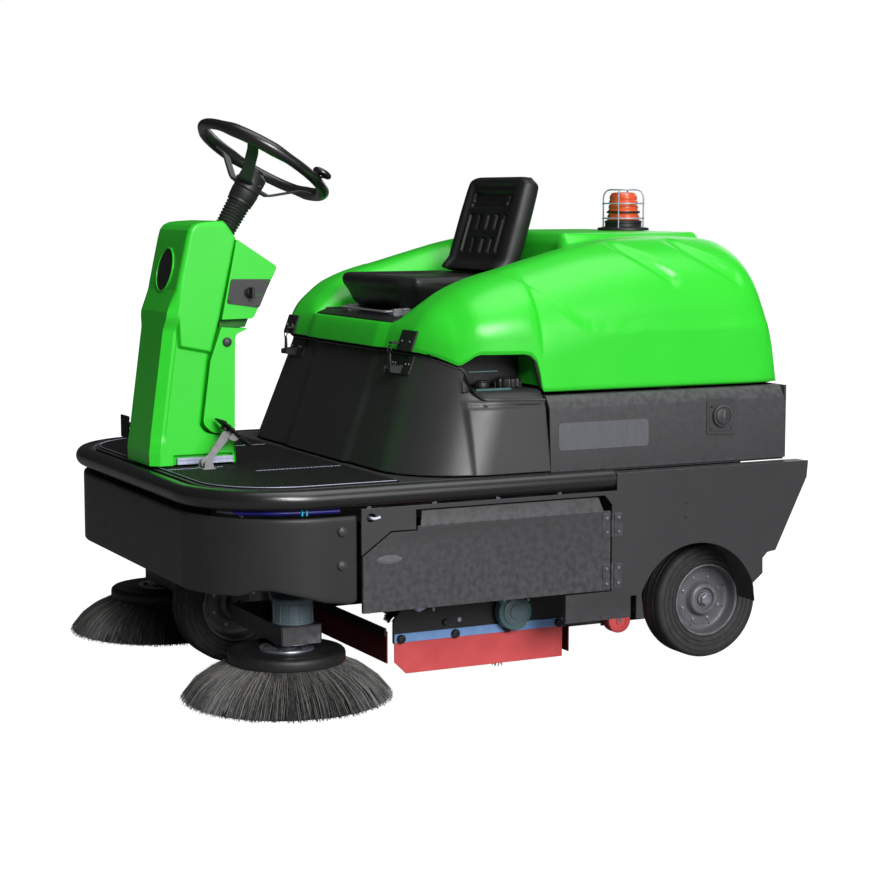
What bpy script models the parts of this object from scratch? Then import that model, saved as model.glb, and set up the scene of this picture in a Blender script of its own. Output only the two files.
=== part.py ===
"""Ride-on sweeper: a battery sweeper with a driver's seat, a steered front wheel, two side brushes
and a main brush that throws the dirt into a drawer at the back.

Frame: +Z up, the machine drives towards -Y and its left side is +X. The origin is on the floor,
under the middle of the whole machine. Metres.
"""

import math

import bmesh
import bpy
from mathutils import Matrix, Vector

# ---------------------------------------------------------------- driving dimensions
SWEEP_WIDTH = 1.500  # over both side brushes
BODY_HALF = 0.668  # centre line to the outer face of the side panels
GAP = 0.0005  # between pieces that rest on each other

DECK_TOP = 0.5505
DECK_THICK = 0.005
DECK_HALF = 0.612
MAT_THICK = 0.004
FLOOR_OF_COLUMN = DECK_TOP + MAT_THICK + 0.003

RAIL_RADIUS = 0.026
RAIL_Z = 0.528
FRONT_CORNER = 0.284  # corner radius of the front, seen from above
SKIRT_FRONT = -0.843
SKIRT_TOP = 0.485
SKIRT_END = -0.486
SKIRT_THICK = 0.010

WHEEL_RADIUS = 0.160
WHEEL_WIDTH = 0.095
RIM_RADIUS = 0.0985
AXLE_RADIUS = 0.012
FRONT_WHEEL_Y = -0.560
REAR_WHEEL_Y = 0.615
REAR_WHEEL_X = 0.5125

SIDE_BRUSH_RADIUS = 0.273
SIDE_BRUSH_Y = -0.596
SIDE_BRUSH_X = SWEEP_WIDTH / 2 - SIDE_BRUSH_RADIUS
BRISTLE_FLOOR = 0.001
DISC_RADIUS = 0.149
DISC_LOW = 0.100
DISC_HIGH = 0.130
ARM_LOW = 0.145
ARM_HIGH = 0.195
ARM_PIVOT_X = 0.190
ARM_PIVOT_Z = 0.170

MAIN_BRUSH_RADIUS = 0.163
MAIN_BRUSH_Y = 0.055
MAIN_BRUSH_Z = 0.165
TUNNEL_RADIUS = 0.175
END_PLATE_X = 0.4405
END_PLATE_THICK = 0.008
SHAFT_RADIUS = 0.015

STEER_TILT = math.radians(31)
STEER_FOOT = Vector((0.0, -0.5814, 1.1517))  # where the steering axis leaves the column
STEER_AXIS = Vector((0.0, math.sin(STEER_TILT), math.cos(STEER_TILT)))
WHEEL_PLANE = 0.2396  # steering wheel rim, along the axis from the foot
STEER_RIM = 0.181
STEER_GRIP = 0.015
KNOB_ANGLE = math.radians(40)
PEDAL_PIVOT_Z = 0.566

COLUMN_HALF = 0.123
CONSOLE_HALF = 0.119
SEAT_HALF = 0.235
BACK_HALF = 0.178
SEAT_BASE_TOP = 0.9385
SEAT_RAIL_TOP = 0.953
BEACON_FOOT = Vector((0, 0.675, 1.1605))

COWL_HALF = 0.620  # at the deck, and the cowl narrows and leans back as it rises
COWL_FRONT = -0.310
COWL_NARROWING = 0.1716
COWL_LEAN = 0.345
COWL_CORNER = 0.220
COVER_LATCH_Y = 0.610
COVER_LATCH_Z = 0.674

HOOD_THICK = 0.008
HOOD_HINGE_Y = 0.842
HOOD_HINGE_Z = 0.753

HOPPER_LOW = Vector((-0.390, 0.262, 0.085))
HOPPER_HIGH = Vector((0.390, 0.840, 0.495))
HOPPER_WALL = 0.005
ROLLER_RADIUS = 0.035

DOOR_HINGE_X = 0.6725
DOOR_HINGE_Y = 0.2390

ROUND = 24  # steps round a turned piece
COARSE = 16

# ---------------------------------------------------------------- outlines, as (y, z) or (x, y)
COLUMN_FRONT = [
    (-0.819, FLOOR_OF_COLUMN), (-0.820, 0.593), (-0.770, 0.959), (-0.748, 1.016),
    (-0.713, 1.175), (-0.694, 1.190), (-0.614, 1.196), (-0.582, 1.152), (-0.631, 0.937),
    (-0.661, 0.830), (-0.684, 0.663), (-0.660, 0.636), (-0.588, 0.628), (-0.585, FLOOR_OF_COLUMN),
]
COLUMN_REAR = [
    (-0.579, 1.150), (-0.464, 1.076), (-0.549, 0.912), (-0.586, 0.898), (-0.590, 0.632),
    (-0.656, 0.640), (-0.680, 0.665), (-0.657, 0.830), (-0.627, 0.937),
]
KEY_PANEL = [(-0.598, 1.045), (-0.484, 1.043), (-0.519, 0.966), (-0.611, 0.980)]
CUSHION = [
    (-0.150, 0.990), (-0.142, 1.030), (-0.105, 1.045), (0.185, 1.045), (0.212, 1.030),
    (0.212, 0.965), (0.185, 0.9535), (-0.100, 0.9535),
]
BACKREST = [
    (0.166, 1.050), (0.220, 1.0458), (0.238, 1.060), (0.314, 1.262), (0.304, 1.300),
    (0.276, 1.320), (0.252, 1.316),
]
DOOR = [
    (-0.471, 0.239), (-0.471, 0.380), (-0.392, 0.436), (-0.321, 0.436), (-0.321, 0.485),
    (0.215, 0.485), (0.237, 0.460), (0.237, 0.239),
]
# The side panel frames the door, holds the corner plate in front of it, and ends in the tail.
PANEL_FRONT = [
    (-0.473, 0.500), (-0.473, 0.384), (-0.394, 0.440), (-0.325, 0.440), (-0.325, 0.4895),
    (0.219, 0.4895), (0.241, 0.463), (0.241, 0.235), (0.104, 0.235), (0.104, 0.161),
    (0.300, 0.161), (0.300, 0.218), (0.318, 0.218), (0.318, 0.155), (0.342, 0.155),
]
PANEL_REAR = [
    (0.719, 0.245), (0.718, 0.286), (0.733, 0.301), (0.760, 0.305), (0.859, 0.500),
    (0.863, 0.545), (0.256, 0.545), (0.256, 0.500),
]
WHEEL_ARCH = (0.510, 0.155, 0.188)  # y, z and radius
END_PLATE = [
    (-0.285, 0.100), (-0.285, 0.165), (-0.255, 0.200), (-0.150, 0.330), (-0.100, 0.500),
    (0.200, 0.500), (0.235, 0.300), (0.235, 0.100),
]
RUBBER_FLAP = [(-0.285, 0.108), (-0.285, 0.055), (-0.252, 0.022), (0.218, 0.022), (0.218, 0.108)]
# Height of the hood's ridge and of its lower edge, and half width, at each station along y.
HOOD_STATIONS = [
    (-0.223, 0.862, 0.862, 0.400), (-0.206, 0.915, 0.860, 0.440), (-0.175, 0.959, 0.849, 0.495),
    (-0.140, 0.986, 0.829, 0.535), (-0.093, 1.020, 0.857, 0.563), (-0.026, 1.046, 0.857, 0.577),
    (0.033, 1.062, 0.856, 0.583), (0.067, 1.070, 0.825, 0.585), (0.080, 1.074, 0.757, 0.585),
    (0.275, 1.124, 0.757, 0.585), (0.330, 1.139, 0.757, 0.585),
    (0.450, 1.160, 0.756, 0.585), (0.660, 1.160, 0.755, 0.585), (0.757, 1.121, 0.754, 0.580),
    (0.792, 1.082, 0.754, 0.570), (0.815, 1.013, 0.753, 0.555), (0.826, 0.915, 0.753, 0.540),
    (0.833, 0.753, 0.753, 0.525),
]
RECESS_HALF = 0.262  # the seat stands in a recess between the hood's shoulders
RECESS_FLOOR = 0.925
RECESS_FRONT = -0.206
RECESS_END = 0.275
# Upper edge of the black cowl against y, under the hood and round the filler caps.
COWL_TOP = [
    (-0.300, 0.856), (-0.190, 0.852), (-0.142, 0.824), (-0.123, 0.767), (-0.085, 0.744),
    (0.082, 0.734),
]
SKIRT_BOTTOM = [
    (-0.843, 0.290), (-0.765, 0.292), (-0.734, 0.306), (-0.698, 0.308), (-0.635, 0.293),
    (-0.570, 0.274), (-0.517, 0.267), (-0.486, 0.262),
]

# ---------------------------------------------------------------- scene and materials


def clear_scene():
    for obj in list(bpy.data.objects):
        bpy.data.objects.remove(obj, do_unlink=True)


def new_collection(name):
    collection = bpy.data.collections.new(name)
    bpy.context.scene.collection.children.link(collection)
    return collection


def make_material(name, colour, roughness, metallic=0.0):
    material = bpy.data.materials.new(name)
    material.use_nodes = True
    shader = material.node_tree.nodes["Principled BSDF"]
    shader.inputs["Base Color"].default_value = (*colour, 1.0)
    shader.inputs["Roughness"].default_value = roughness
    shader.inputs["Metallic"].default_value = metallic
    return material


clear_scene()
PARTS = new_collection("ride_on_sweeper")
CUTTERS = new_collection("cutters")
CUTTERS.hide_render = True

GREEN = make_material("green_body", (0.05, 0.62, 0.06), 0.35)
BLACK = make_material("black_plastic", (0.012, 0.012, 0.013), 0.45)
PANEL = make_material("dark_painted_steel", (0.045, 0.045, 0.048), 0.45)
RUBBER = make_material("black_rubber", (0.015, 0.015, 0.016), 0.75)
TYRE = make_material("tyre_rubber", (0.03, 0.03, 0.032), 0.8)
RIM = make_material("grey_rim", (0.16, 0.16, 0.17), 0.45)
STEEL = make_material("zinc_steel", (0.55, 0.56, 0.60), 0.3, 1.0)
BRISTLE = make_material("bristles", (0.03, 0.03, 0.03), 0.9)
RED_RUBBER = make_material("red_rubber", (0.60, 0.07, 0.07), 0.6)
MOTOR = make_material("grey_motor", (0.10, 0.14, 0.16), 0.5)
SEAT = make_material("seat_foam_skin", (0.02, 0.02, 0.022), 0.55)
LENS = make_material("beacon_lens", (0.65, 0.09, 0.03), 0.15)
CAGE = make_material("cage_wire", (0.45, 0.48, 0.55), 0.35, 0.6)


# ---------------------------------------------------------------- shape helpers


def add_object(name, data, material, parent=None):
    """Link an object for this mesh or curve, and hang it on the parent empty at its joint."""
    obj = bpy.data.objects.new(name, data)
    PARTS.objects.link(obj)
    data.materials.clear()
    data.materials.append(material)
    if isinstance(data, bpy.types.Mesh):
        data.shade_smooth()
        data.set_sharp_from_angle(angle=math.radians(35))
    if parent is not None:
        obj.parent = parent
        obj.matrix_parent_inverse = parent.matrix_basis.inverted()
    return obj


def pivot(name, place):
    """An empty on a joint's axis, the parent of the pieces that move about it."""
    empty = bpy.data.objects.new(name, None)
    empty.location = place
    PARTS.objects.link(empty)
    return empty


def block(name, low, high, material, parent=None, bevel=0.0):
    centre = (Vector(low) + Vector(high)) / 2
    size = Vector(high) - Vector(low)
    mesh = bpy.data.meshes.new(name)
    bm = bmesh.new()
    bmesh.ops.create_cube(bm, size=1.0, matrix=Matrix.Diagonal((*size, 1.0)))
    bm.to_mesh(mesh)
    bm.free()
    obj = add_object(name, mesh, material, parent)
    obj.location = centre
    if bevel:
        edge = obj.modifiers.new("rounded_edges", "BEVEL")
        edge.width = bevel
        edge.segments = 1
    return obj


def cylinder(name, centre, radius, length, axis, material, parent=None, steps=ROUND):
    """A plain cylinder about the axis, centred on the point."""
    mesh = bpy.data.meshes.new(name)
    bm = bmesh.new()
    bmesh.ops.create_cone(
        bm, cap_ends=True, segments=steps, radius1=radius, radius2=radius, depth=length
    )
    bm.to_mesh(mesh)
    bm.free()
    obj = add_object(name, mesh, material, parent)
    obj.rotation_mode = "QUATERNION"
    obj.rotation_quaternion = Vector((0, 0, 1)).rotation_difference(Vector(axis))
    obj.location = centre
    return obj


def turned(name, profile, centre, axis, material, parent=None, steps=ROUND, ring=False):
    """Turn a profile of (radius, height) points, listed down the outer side, about the axis."""
    mesh = bpy.data.meshes.new(name)
    count = len(profile)
    edges = [(i, i + 1) for i in range(count - 1)]
    if ring:
        edges.append((count - 1, 0))
    mesh.from_pydata([(r, 0, h) for r, h in profile], edges, [])
    obj = add_object(name, mesh, material, parent)
    screw = obj.modifiers.new("turned", "SCREW")
    screw.steps = steps
    screw.render_steps = steps
    screw.use_merge_vertices = True
    screw.merge_threshold = 0.0001
    obj.rotation_mode = "QUATERNION"
    obj.rotation_quaternion = Vector((0, 0, 1)).rotation_difference(Vector(axis))
    obj.location = centre
    return obj


def tube(name, points, radius, material, parent=None, sides=2, closed=False):
    curve = bpy.data.curves.new(name, "CURVE")
    curve.dimensions = "3D"
    curve.bevel_depth = radius
    curve.bevel_resolution = sides
    curve.use_fill_caps = True
    spline = curve.splines.new("POLY")
    spline.points.add(len(points) - 1)
    for point, place in zip(spline.points, points):
        point.co = (*place, 1.0)
    spline.use_cyclic_u = closed
    return add_object(name, curve, material, parent)


def sheet(name, outlines, low, high, along, material, parent=None):
    """A flat outline, with any holes, given thickness from low to high along an axis."""
    curve = bpy.data.curves.new(name, "CURVE")
    curve.dimensions = "2D"
    curve.fill_mode = "BOTH"
    curve.extrude = (high - low) / 2
    for outline in outlines:
        spline = curve.splines.new("POLY")
        spline.points.add(len(outline) - 1)
        for point, (u, v) in zip(spline.points, outline):
            point.co = (u, v, 0.0, 1.0)
        spline.use_cyclic_u = True
    obj = add_object(name, curve, material, parent)
    middle = (low + high) / 2
    if along == "X":
        obj.rotation_euler = (math.pi / 2, 0, math.pi / 2)
        obj.location = (middle, 0, 0)
    elif along == "Y":
        obj.rotation_euler = (math.pi / 2, 0, 0)
        obj.location = (0, middle, 0)
    else:
        obj.location = (0, 0, middle)
    return as_mesh(obj)


def as_mesh(obj):
    """Replace an object by a welded mesh of its evaluated shape, at the same place."""
    bpy.context.view_layer.update()
    graph = bpy.context.evaluated_depsgraph_get()
    mesh = bpy.data.meshes.new_from_object(obj.evaluated_get(graph), depsgraph=graph)
    bm = bmesh.new()
    bm.from_mesh(mesh)
    bmesh.ops.remove_doubles(bm, verts=bm.verts, dist=0.00002)
    bm.to_mesh(mesh)
    bm.free()
    name = obj.name
    material = obj.data.materials[0]
    parent = obj.parent
    place = obj.matrix_world.copy()
    bpy.data.objects.remove(obj, do_unlink=True)
    mesh.name = name
    solid = add_object(name, mesh, material, parent)
    solid.matrix_world = place
    return solid


def combine(body, others, operation="UNION"):
    """Join the other solids to the body, or cut them out of it, and keep one mesh."""
    for other in others:
        step = body.modifiers.new(other.name, "BOOLEAN")
        step.operation = operation
        step.solver = "EXACT"
        step.object = other
    solid = as_mesh(body)
    for other in others:
        bpy.data.objects.remove(other, do_unlink=True)
    return solid


def arc(centre, radius, start, end, steps):
    """Points of an arc in a plane, angles in degrees."""
    points = []
    for i in range(steps + 1):
        angle = math.radians(start + (end - start) * i / steps)
        points.append((centre[0] + radius * math.cos(angle), centre[1] + radius * math.sin(angle)))
    return points


def nose(half, front, radius, rear, steps):
    """Plan of the front: from the rear on the left, round both front corners, to the right."""
    left = arc((half - radius, front + radius), radius, 0, -90, steps)
    right = [(-x, y) for x, y in reversed(left)]
    return [(half, rear)] + left + right + [(-half, rear)]


def interpolate(table, value):
    """Read a piecewise straight curve, given as (value, height) pairs."""
    if value <= table[0][0]:
        return table[0][1]
    for (a, low), (b, high) in zip(table, table[1:]):
        if value <= b:
            return low + (high - low) * (value - a) / (b - a)
    return table[-1][1]


def shell_of(name, rows, thickness, material, parent=None):
    """Skin rows of points, then thicken the open surface inwards."""
    mesh = bpy.data.meshes.new(name)
    width = len(rows[0])
    points = [point for row in rows for point in row]
    faces = []
    for r in range(len(rows) - 1):
        for c in range(width - 1):
            a = r * width + c
            faces.append((a, a + 1, a + width + 1, a + width))
    mesh.from_pydata(points, [], faces)
    bm = bmesh.new()
    bm.from_mesh(mesh)
    bmesh.ops.remove_doubles(bm, verts=bm.verts, dist=0.00002)
    bmesh.ops.dissolve_degenerate(bm, edges=bm.edges, dist=0.00002)
    bm.to_mesh(mesh)
    bm.free()
    obj = add_object(name, mesh, material, parent)
    solidify = obj.modifiers.new("wall", "SOLIDIFY")
    solidify.thickness = thickness
    solidify.offset = -1.0
    solidify.use_even_offset = True
    return obj


SIDES = (("left", 1), ("right", -1))

# ---------------------------------------------------------------- frame, deck and outer shell


def along_x(side, near, far):
    """The two x limits of a piece on one side, in rising order."""
    return sorted((side * near, side * far))


def make_frame():
    rail_in, rail_out = 0.405, 0.440
    low, high = 0.430, DECK_TOP - DECK_THICK - GAP
    frame = block("chassis_frame", (rail_in, -0.78, low), (rail_out, 0.80, high), PANEL)
    pieces = [block("rail", (-rail_out, -0.78, low), (-rail_in, 0.80, high), PANEL)]
    crossmembers = (((-0.780, -0.740), low), ((-0.620, -0.500), low), ((-0.340, -0.300), low),
                    ((0.760, 0.790), 0.506))
    for (front, rear), bottom in crossmembers:
        pieces.append(block("cross", (-0.42, front, bottom), (0.42, rear, high - 0.001), PANEL))
    for _, side in SIDES:
        low_x, high_x = along_x(side, 0.438, 0.4525)
        hanger = block("hanger", (low_x, 0.560, 0.110), (high_x, 0.670, 0.500), PANEL)
        low_x, high_x = along_x(side, 0.448, 0.552)
        axle = cylinder("axle", ((low_x + high_x) / 2, REAR_WHEEL_Y, WHEEL_RADIUS), AXLE_RADIUS,
                        high_x - low_x, (1, 0, 0), PANEL, steps=COARSE)
        pieces += [hanger, axle]
    combine(frame, pieces)


def make_deck():
    outline = nose(DECK_HALF, -0.808, 0.225, 0.855, 8)
    sheet("deck_plate", [outline], DECK_TOP - DECK_THICK, DECK_TOP, "Z", PANEL)
    mat = nose(0.598, -0.798, 0.212, -0.336, 8)
    sheet("deck_mat", [mat], DECK_TOP + GAP, DECK_TOP + MAT_THICK, "Z", RUBBER)
    half = BODY_HALF - RAIL_RADIUS
    path = nose(half, -0.838, FRONT_CORNER - RAIL_RADIUS, 0.250, 8)
    tube("bumper_rail", [(x, y, RAIL_Z) for x, y in path], RAIL_RADIUS, BLACK)


def make_skirt():
    plan = nose(BODY_HALF, SKIRT_FRONT, FRONT_CORNER, SKIRT_END, 10)
    bottom = [(x, y, interpolate(SKIRT_BOTTOM, y)) for x, y in plan]
    top = [(x, y, SKIRT_TOP) for x, y in plan]
    shell_of("front_skirt", [top, bottom], SKIRT_THICK, BLACK)


def make_side_panels():
    arch_y, arch_z, radius = WHEEL_ARCH
    arch = arc((arch_y, arch_z), radius, 160, 20, 10)
    outline = PANEL_FRONT + arch + PANEL_REAR
    for word, side in SIDES:
        low, high = along_x(side, BODY_HALF - 0.008, BODY_HALF)
        panel = sheet("side_panel_" + word, [outline], low, high, "X", PANEL)
        low, high = along_x(side, 0.6155, BODY_HALF - 0.001)
        flange = block("flange", (low, 0.260, 0.5395), (high, 0.861, 0.5442), PANEL)
        combine(panel, [flange])


def make_cowl():
    def level(z):
        half = COWL_HALF - COWL_NARROWING * (z - DECK_TOP)
        front = COWL_FRONT + COWL_LEAN * (z - DECK_TOP)
        return nose(half, front, COWL_CORNER, 0.0815, 8)

    foot = DECK_TOP + 0.0056  # the wall leans, so its inner edge hangs lower
    bottom = [(x, y, foot) for x, y in level(foot)]
    top = []
    for i, (_, y) in enumerate(level(0.855)):
        height = interpolate(COWL_TOP, y)
        x, y = level(height)[i]
        top.append((x, y, height))
    # The straight sides need points where the upper edge steps down to the caps.
    extra = [y for y, _ in COWL_TOP if 0.0 > y > -0.13]
    columns = [(bottom[0], top[0])]
    for y in sorted(extra, reverse=True):
        height = interpolate(COWL_TOP, y)
        columns.append(((COWL_HALF, y, foot), (level(height)[0][0], y, height)))
    body = [(b, t) for b, t in zip(bottom[1:-1], top[1:-1]) if b[1] < -0.13]
    mirrored = [((-b[0], b[1], b[2]), (-t[0], t[1], t[2])) for b, t in reversed(columns)]
    columns = columns + body + mirrored
    rows = [[t for _, t in columns], [b for b, _ in columns]]
    shell_of("body_cowl", rows, 0.006, BLACK)


def make_rear_covers():
    section = [(0.620, DECK_TOP + GAP), (0.612, 0.719), (0.590, 0.748), (0.583, 0.748),
               (0.605, 0.716), (0.613, DECK_TOP + GAP)]
    for word, side in SIDES:
        outline = [(side * x, z) for x, z in section]
        sheet("side_cover_" + word, [outline], 0.084, 0.820, "Y", PANEL)
        low, high = along_x(side, 0.6155, 0.632)
        origin = ((low + high) / 2, COVER_LATCH_Y, COVER_LATCH_Z)
        hinge = pivot("cover_latch_pivot_" + word, origin)
        cylinder("cover_latch_" + word, (side * 0.6265, COVER_LATCH_Y, COVER_LATCH_Z), 0.030,
                 0.010, (1, 0, 0), BLACK, hinge, COARSE)
    block("rear_wall", (-0.612, 0.8205, DECK_TOP + GAP), (0.612, 0.830, 0.7485), PANEL)


# ---------------------------------------------------------------- steering


def steer_point(distance):
    """A point on the steering axis, at a distance from the column."""
    return STEER_FOOT + STEER_AXIS * distance


def make_column():
    front = sheet("steering_column", [COLUMN_FRONT], -COLUMN_HALF, COLUMN_HALF, "X", GREEN)
    rear = sheet("column_console", [COLUMN_REAR], -CONSOLE_HALF, CONSOLE_HALF, "X", GREEN)
    for part in (front, rear):
        hole = cylinder("hole", steer_point(0.03), 0.0295, 0.10, STEER_AXIS, BLACK, steps=COARSE)
        combine(part, [hole], "DIFFERENCE")
    sheet("key_panel", [KEY_PANEL], CONSOLE_HALF + GAP, CONSOLE_HALF + 0.004, "X", PANEL)
    origin = (CONSOLE_HALF + 0.013, -0.548, 1.008)
    turn = pivot("key_pivot", origin)
    key = cylinder("key", origin, 0.010, 0.016, (1, 0, 0), STEEL, turn, COARSE)
    grip = block("grip", (origin[0] + 0.004, -0.550, 0.994), (origin[0] + 0.024, -0.546, 1.022),
                 STEEL, turn)
    combine(key, [grip])


def make_steering_wheel():
    boot = [(0.038, 0.142), (0.038, 0.118), (0.030, 0.106), (0.0275, -0.010),
            (0.013, -0.010), (0.013, 0.142)]
    turned("steering_boot", boot, STEER_FOOT, STEER_AXIS, RUBBER, ring=True)
    turn = pivot("steering_pivot", STEER_FOOT)
    hub = [(0.0, 0.205), (0.020, 0.205), (0.036, 0.190), (0.036, 0.145), (0.012, 0.145),
           (0.012, -0.012), (0.0, -0.012)]
    wheel = turned("steering_wheel", hub, STEER_FOOT, STEER_AXIS, BLACK, turn)
    centre = steer_point(WHEEL_PLANE)
    across = Vector((1, 0, 0))
    back = STEER_AXIS.cross(across)
    rim = [centre + STEER_RIM * (across * u + back * v) for u, v in arc((0, 0), 1.0, 0, 345, 23)]
    pieces = [as_mesh(tube("rim", rim, STEER_GRIP, BLACK, turn, 2, True))]
    for angle in (-33, 87, 207):
        direction = across * math.cos(math.radians(angle)) + back * math.sin(math.radians(angle))
        route = [(0.020, 0.160), (0.060, 0.168), (0.130, 0.222), (0.176, WHEEL_PLANE)]
        points = [steer_point(h) + direction * r for r, h in route]
        pieces.append(as_mesh(tube("spoke", points, 0.010, BLACK, turn)))
    combine(wheel, pieces)
    place = centre + STEER_RIM * (across * math.cos(KNOB_ANGLE) + back * math.sin(KNOB_ANGLE))
    knob_turn = pivot("knob_pivot", place)
    knob = [(0.0, 0.037), (0.018, 0.035), (0.026, 0.028), (0.023, 0.021), (0.010, 0.0185),
            (0.010, STEER_GRIP + 0.001), (0.0, STEER_GRIP + 0.001)]
    turned("spinner_knob", knob, place, STEER_AXIS, BLACK, knob_turn, COARSE)


def make_pedals():
    specs = (("left", 0.165, -0.690, [(-0.690, PEDAL_PIVOT_Z), (-0.640, 0.640), (-0.612, 0.640)],
              ((-0.653, 0.681), (-0.572, 0.609))),
             ("right", -0.165, -0.720, [(-0.720, PEDAL_PIVOT_Z), (-0.752, 0.640), (-0.802, 0.646)],
              ((-0.806, 0.669), (-0.797, 0.607))))
    for word, x, pivot_y, route, (top, bottom) in specs:
        turn = pivot("pedal_pivot_" + word, (x, pivot_y, PEDAL_PIVOT_Z))
        pedal = cylinder("pedal_" + word, (x, pivot_y, PEDAL_PIVOT_Z), 0.009, 0.030, (1, 0, 0), STEEL,
                         turn, COARSE)
        arm = as_mesh(tube("arm", [(x, y, z) for y, z in route], 0.007, STEEL, turn))
        slope = Vector((top[0] - bottom[0], top[1] - bottom[1])).normalized() * 0.004
        normal = (-slope[1], slope[0])
        plate = [(top[0] + normal[0], top[1] + normal[1]),
                 (bottom[0] + normal[0], bottom[1] + normal[1]),
                 (bottom[0] - normal[0], bottom[1] - normal[1]),
                 (top[0] - normal[0], top[1] - normal[1])]
        pad = sheet("pad", [plate], x - 0.032, x + 0.032, "X", STEEL, turn)
        combine(pedal, [arm, pad])


# ---------------------------------------------------------------- wheels

TYRE_SECTION = [
    (0.160, 0.036), (0.160, -0.036), (0.151, -0.0475), (0.114, -0.0475), (0.1005, -0.040),
    (0.1005, 0.040), (0.114, 0.0475), (0.151, 0.0475),
]
RIM_SECTION = [
    (RIM_RADIUS, 0.040), (RIM_RADIUS, -0.040), (0.092, -0.040), (0.086, -0.008), (0.040, -0.008),
    (0.040, -0.040), (0.0125, -0.040), (0.0125, 0.032), (0.040, 0.032), (0.040, 0.006),
    (0.086, 0.006), (0.092, 0.040),
]


def make_wheel(word, place, facing):
    turn = pivot("wheel_pivot_" + word, place)
    axis = (facing, 0, 0)
    turned(word + "_tyre", TYRE_SECTION, place, axis, TYRE, turn, ROUND, True)
    turned(word + "_rim", RIM_SECTION, place, axis, RIM, turn, COARSE, True)


def make_running_gear():
    for word, side in SIDES:
        place = (side * REAR_WHEEL_X, REAR_WHEEL_Y, WHEEL_RADIUS)
        make_wheel("rear_" + word, place, side)
    make_wheel("front", (0, FRONT_WHEEL_Y, WHEEL_RADIUS), 1)
    steer = pivot("fork_pivot", (0, FRONT_WHEEL_Y, 0.400))
    fork = cylinder("front_fork", (0, FRONT_WHEEL_Y, 0.4195), 0.085, 0.020, (0, 0, 1), PANEL,
                    steer)
    pieces = []
    leg_in, leg_out = 0.053, 0.063
    for _, side in SIDES:
        low, high = along_x(side, leg_in, leg_out)
        pieces.append(block("leg", (low, FRONT_WHEEL_Y - 0.035, 0.135),
                            (high, FRONT_WHEEL_Y + 0.035, 0.380), PANEL, steer))
    pieces.append(block("crown", (-leg_out, FRONT_WHEEL_Y - 0.0355, 0.365),
                        (leg_out, FRONT_WHEEL_Y + 0.0355, 0.4125), PANEL, steer))
    pieces.append(cylinder("axle", (0, FRONT_WHEEL_Y, WHEEL_RADIUS), AXLE_RADIUS, 0.118,
                           (1, 0, 0), PANEL, steer, COARSE))
    combine(fork, pieces)


# ---------------------------------------------------------------- brushes


def make_side_brushes():
    disc = [(0.0, 0.1445), (0.012, 0.1445), (0.012, 0.1340), (0.070, 0.1340),
            (0.070, DISC_HIGH), (0.140, DISC_HIGH), (DISC_RADIUS, 0.120), (DISC_RADIUS, DISC_LOW),
            (0.0, DISC_LOW)]
    tuft_top = DISC_LOW - GAP
    tufts = [(0.146, tuft_top), (0.180, 0.085), (SIDE_BRUSH_RADIUS, BRISTLE_FLOOR + 0.012),
             (SIDE_BRUSH_RADIUS, BRISTLE_FLOOR), (0.205, BRISTLE_FLOOR), (0.120, 0.070),
             (0.095, tuft_top)]
    for word, side in SIDES:
        x = side * SIDE_BRUSH_X
        lift = pivot("arm_pivot_" + word, (side * ARM_PIVOT_X, SIDE_BRUSH_Y, ARM_PIVOT_Z))
        low, high = along_x(side, 0.176, 0.530)
        arm = block("brush_arm_" + word, (low, -0.632, ARM_LOW), (high, -0.520, ARM_HIGH),
                    PANEL, lift)
        motor = cylinder("motor", (side * 0.470, -0.576, 0.226), 0.054, 0.072, (0, 0, 1), MOTOR,
                         lift)
        combine(arm, [motor])
        spin = pivot("brush_pivot_" + word, (x, SIDE_BRUSH_Y, DISC_LOW))
        turned("brush_disc_" + word, disc, (x, SIDE_BRUSH_Y, 0), (0, 0, 1), BLACK, spin)
        turned("side_bristles_" + word, tufts, (x, SIDE_BRUSH_Y, 0), (0, 0, 1), BRISTLE, spin,
               ROUND, True)


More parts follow.
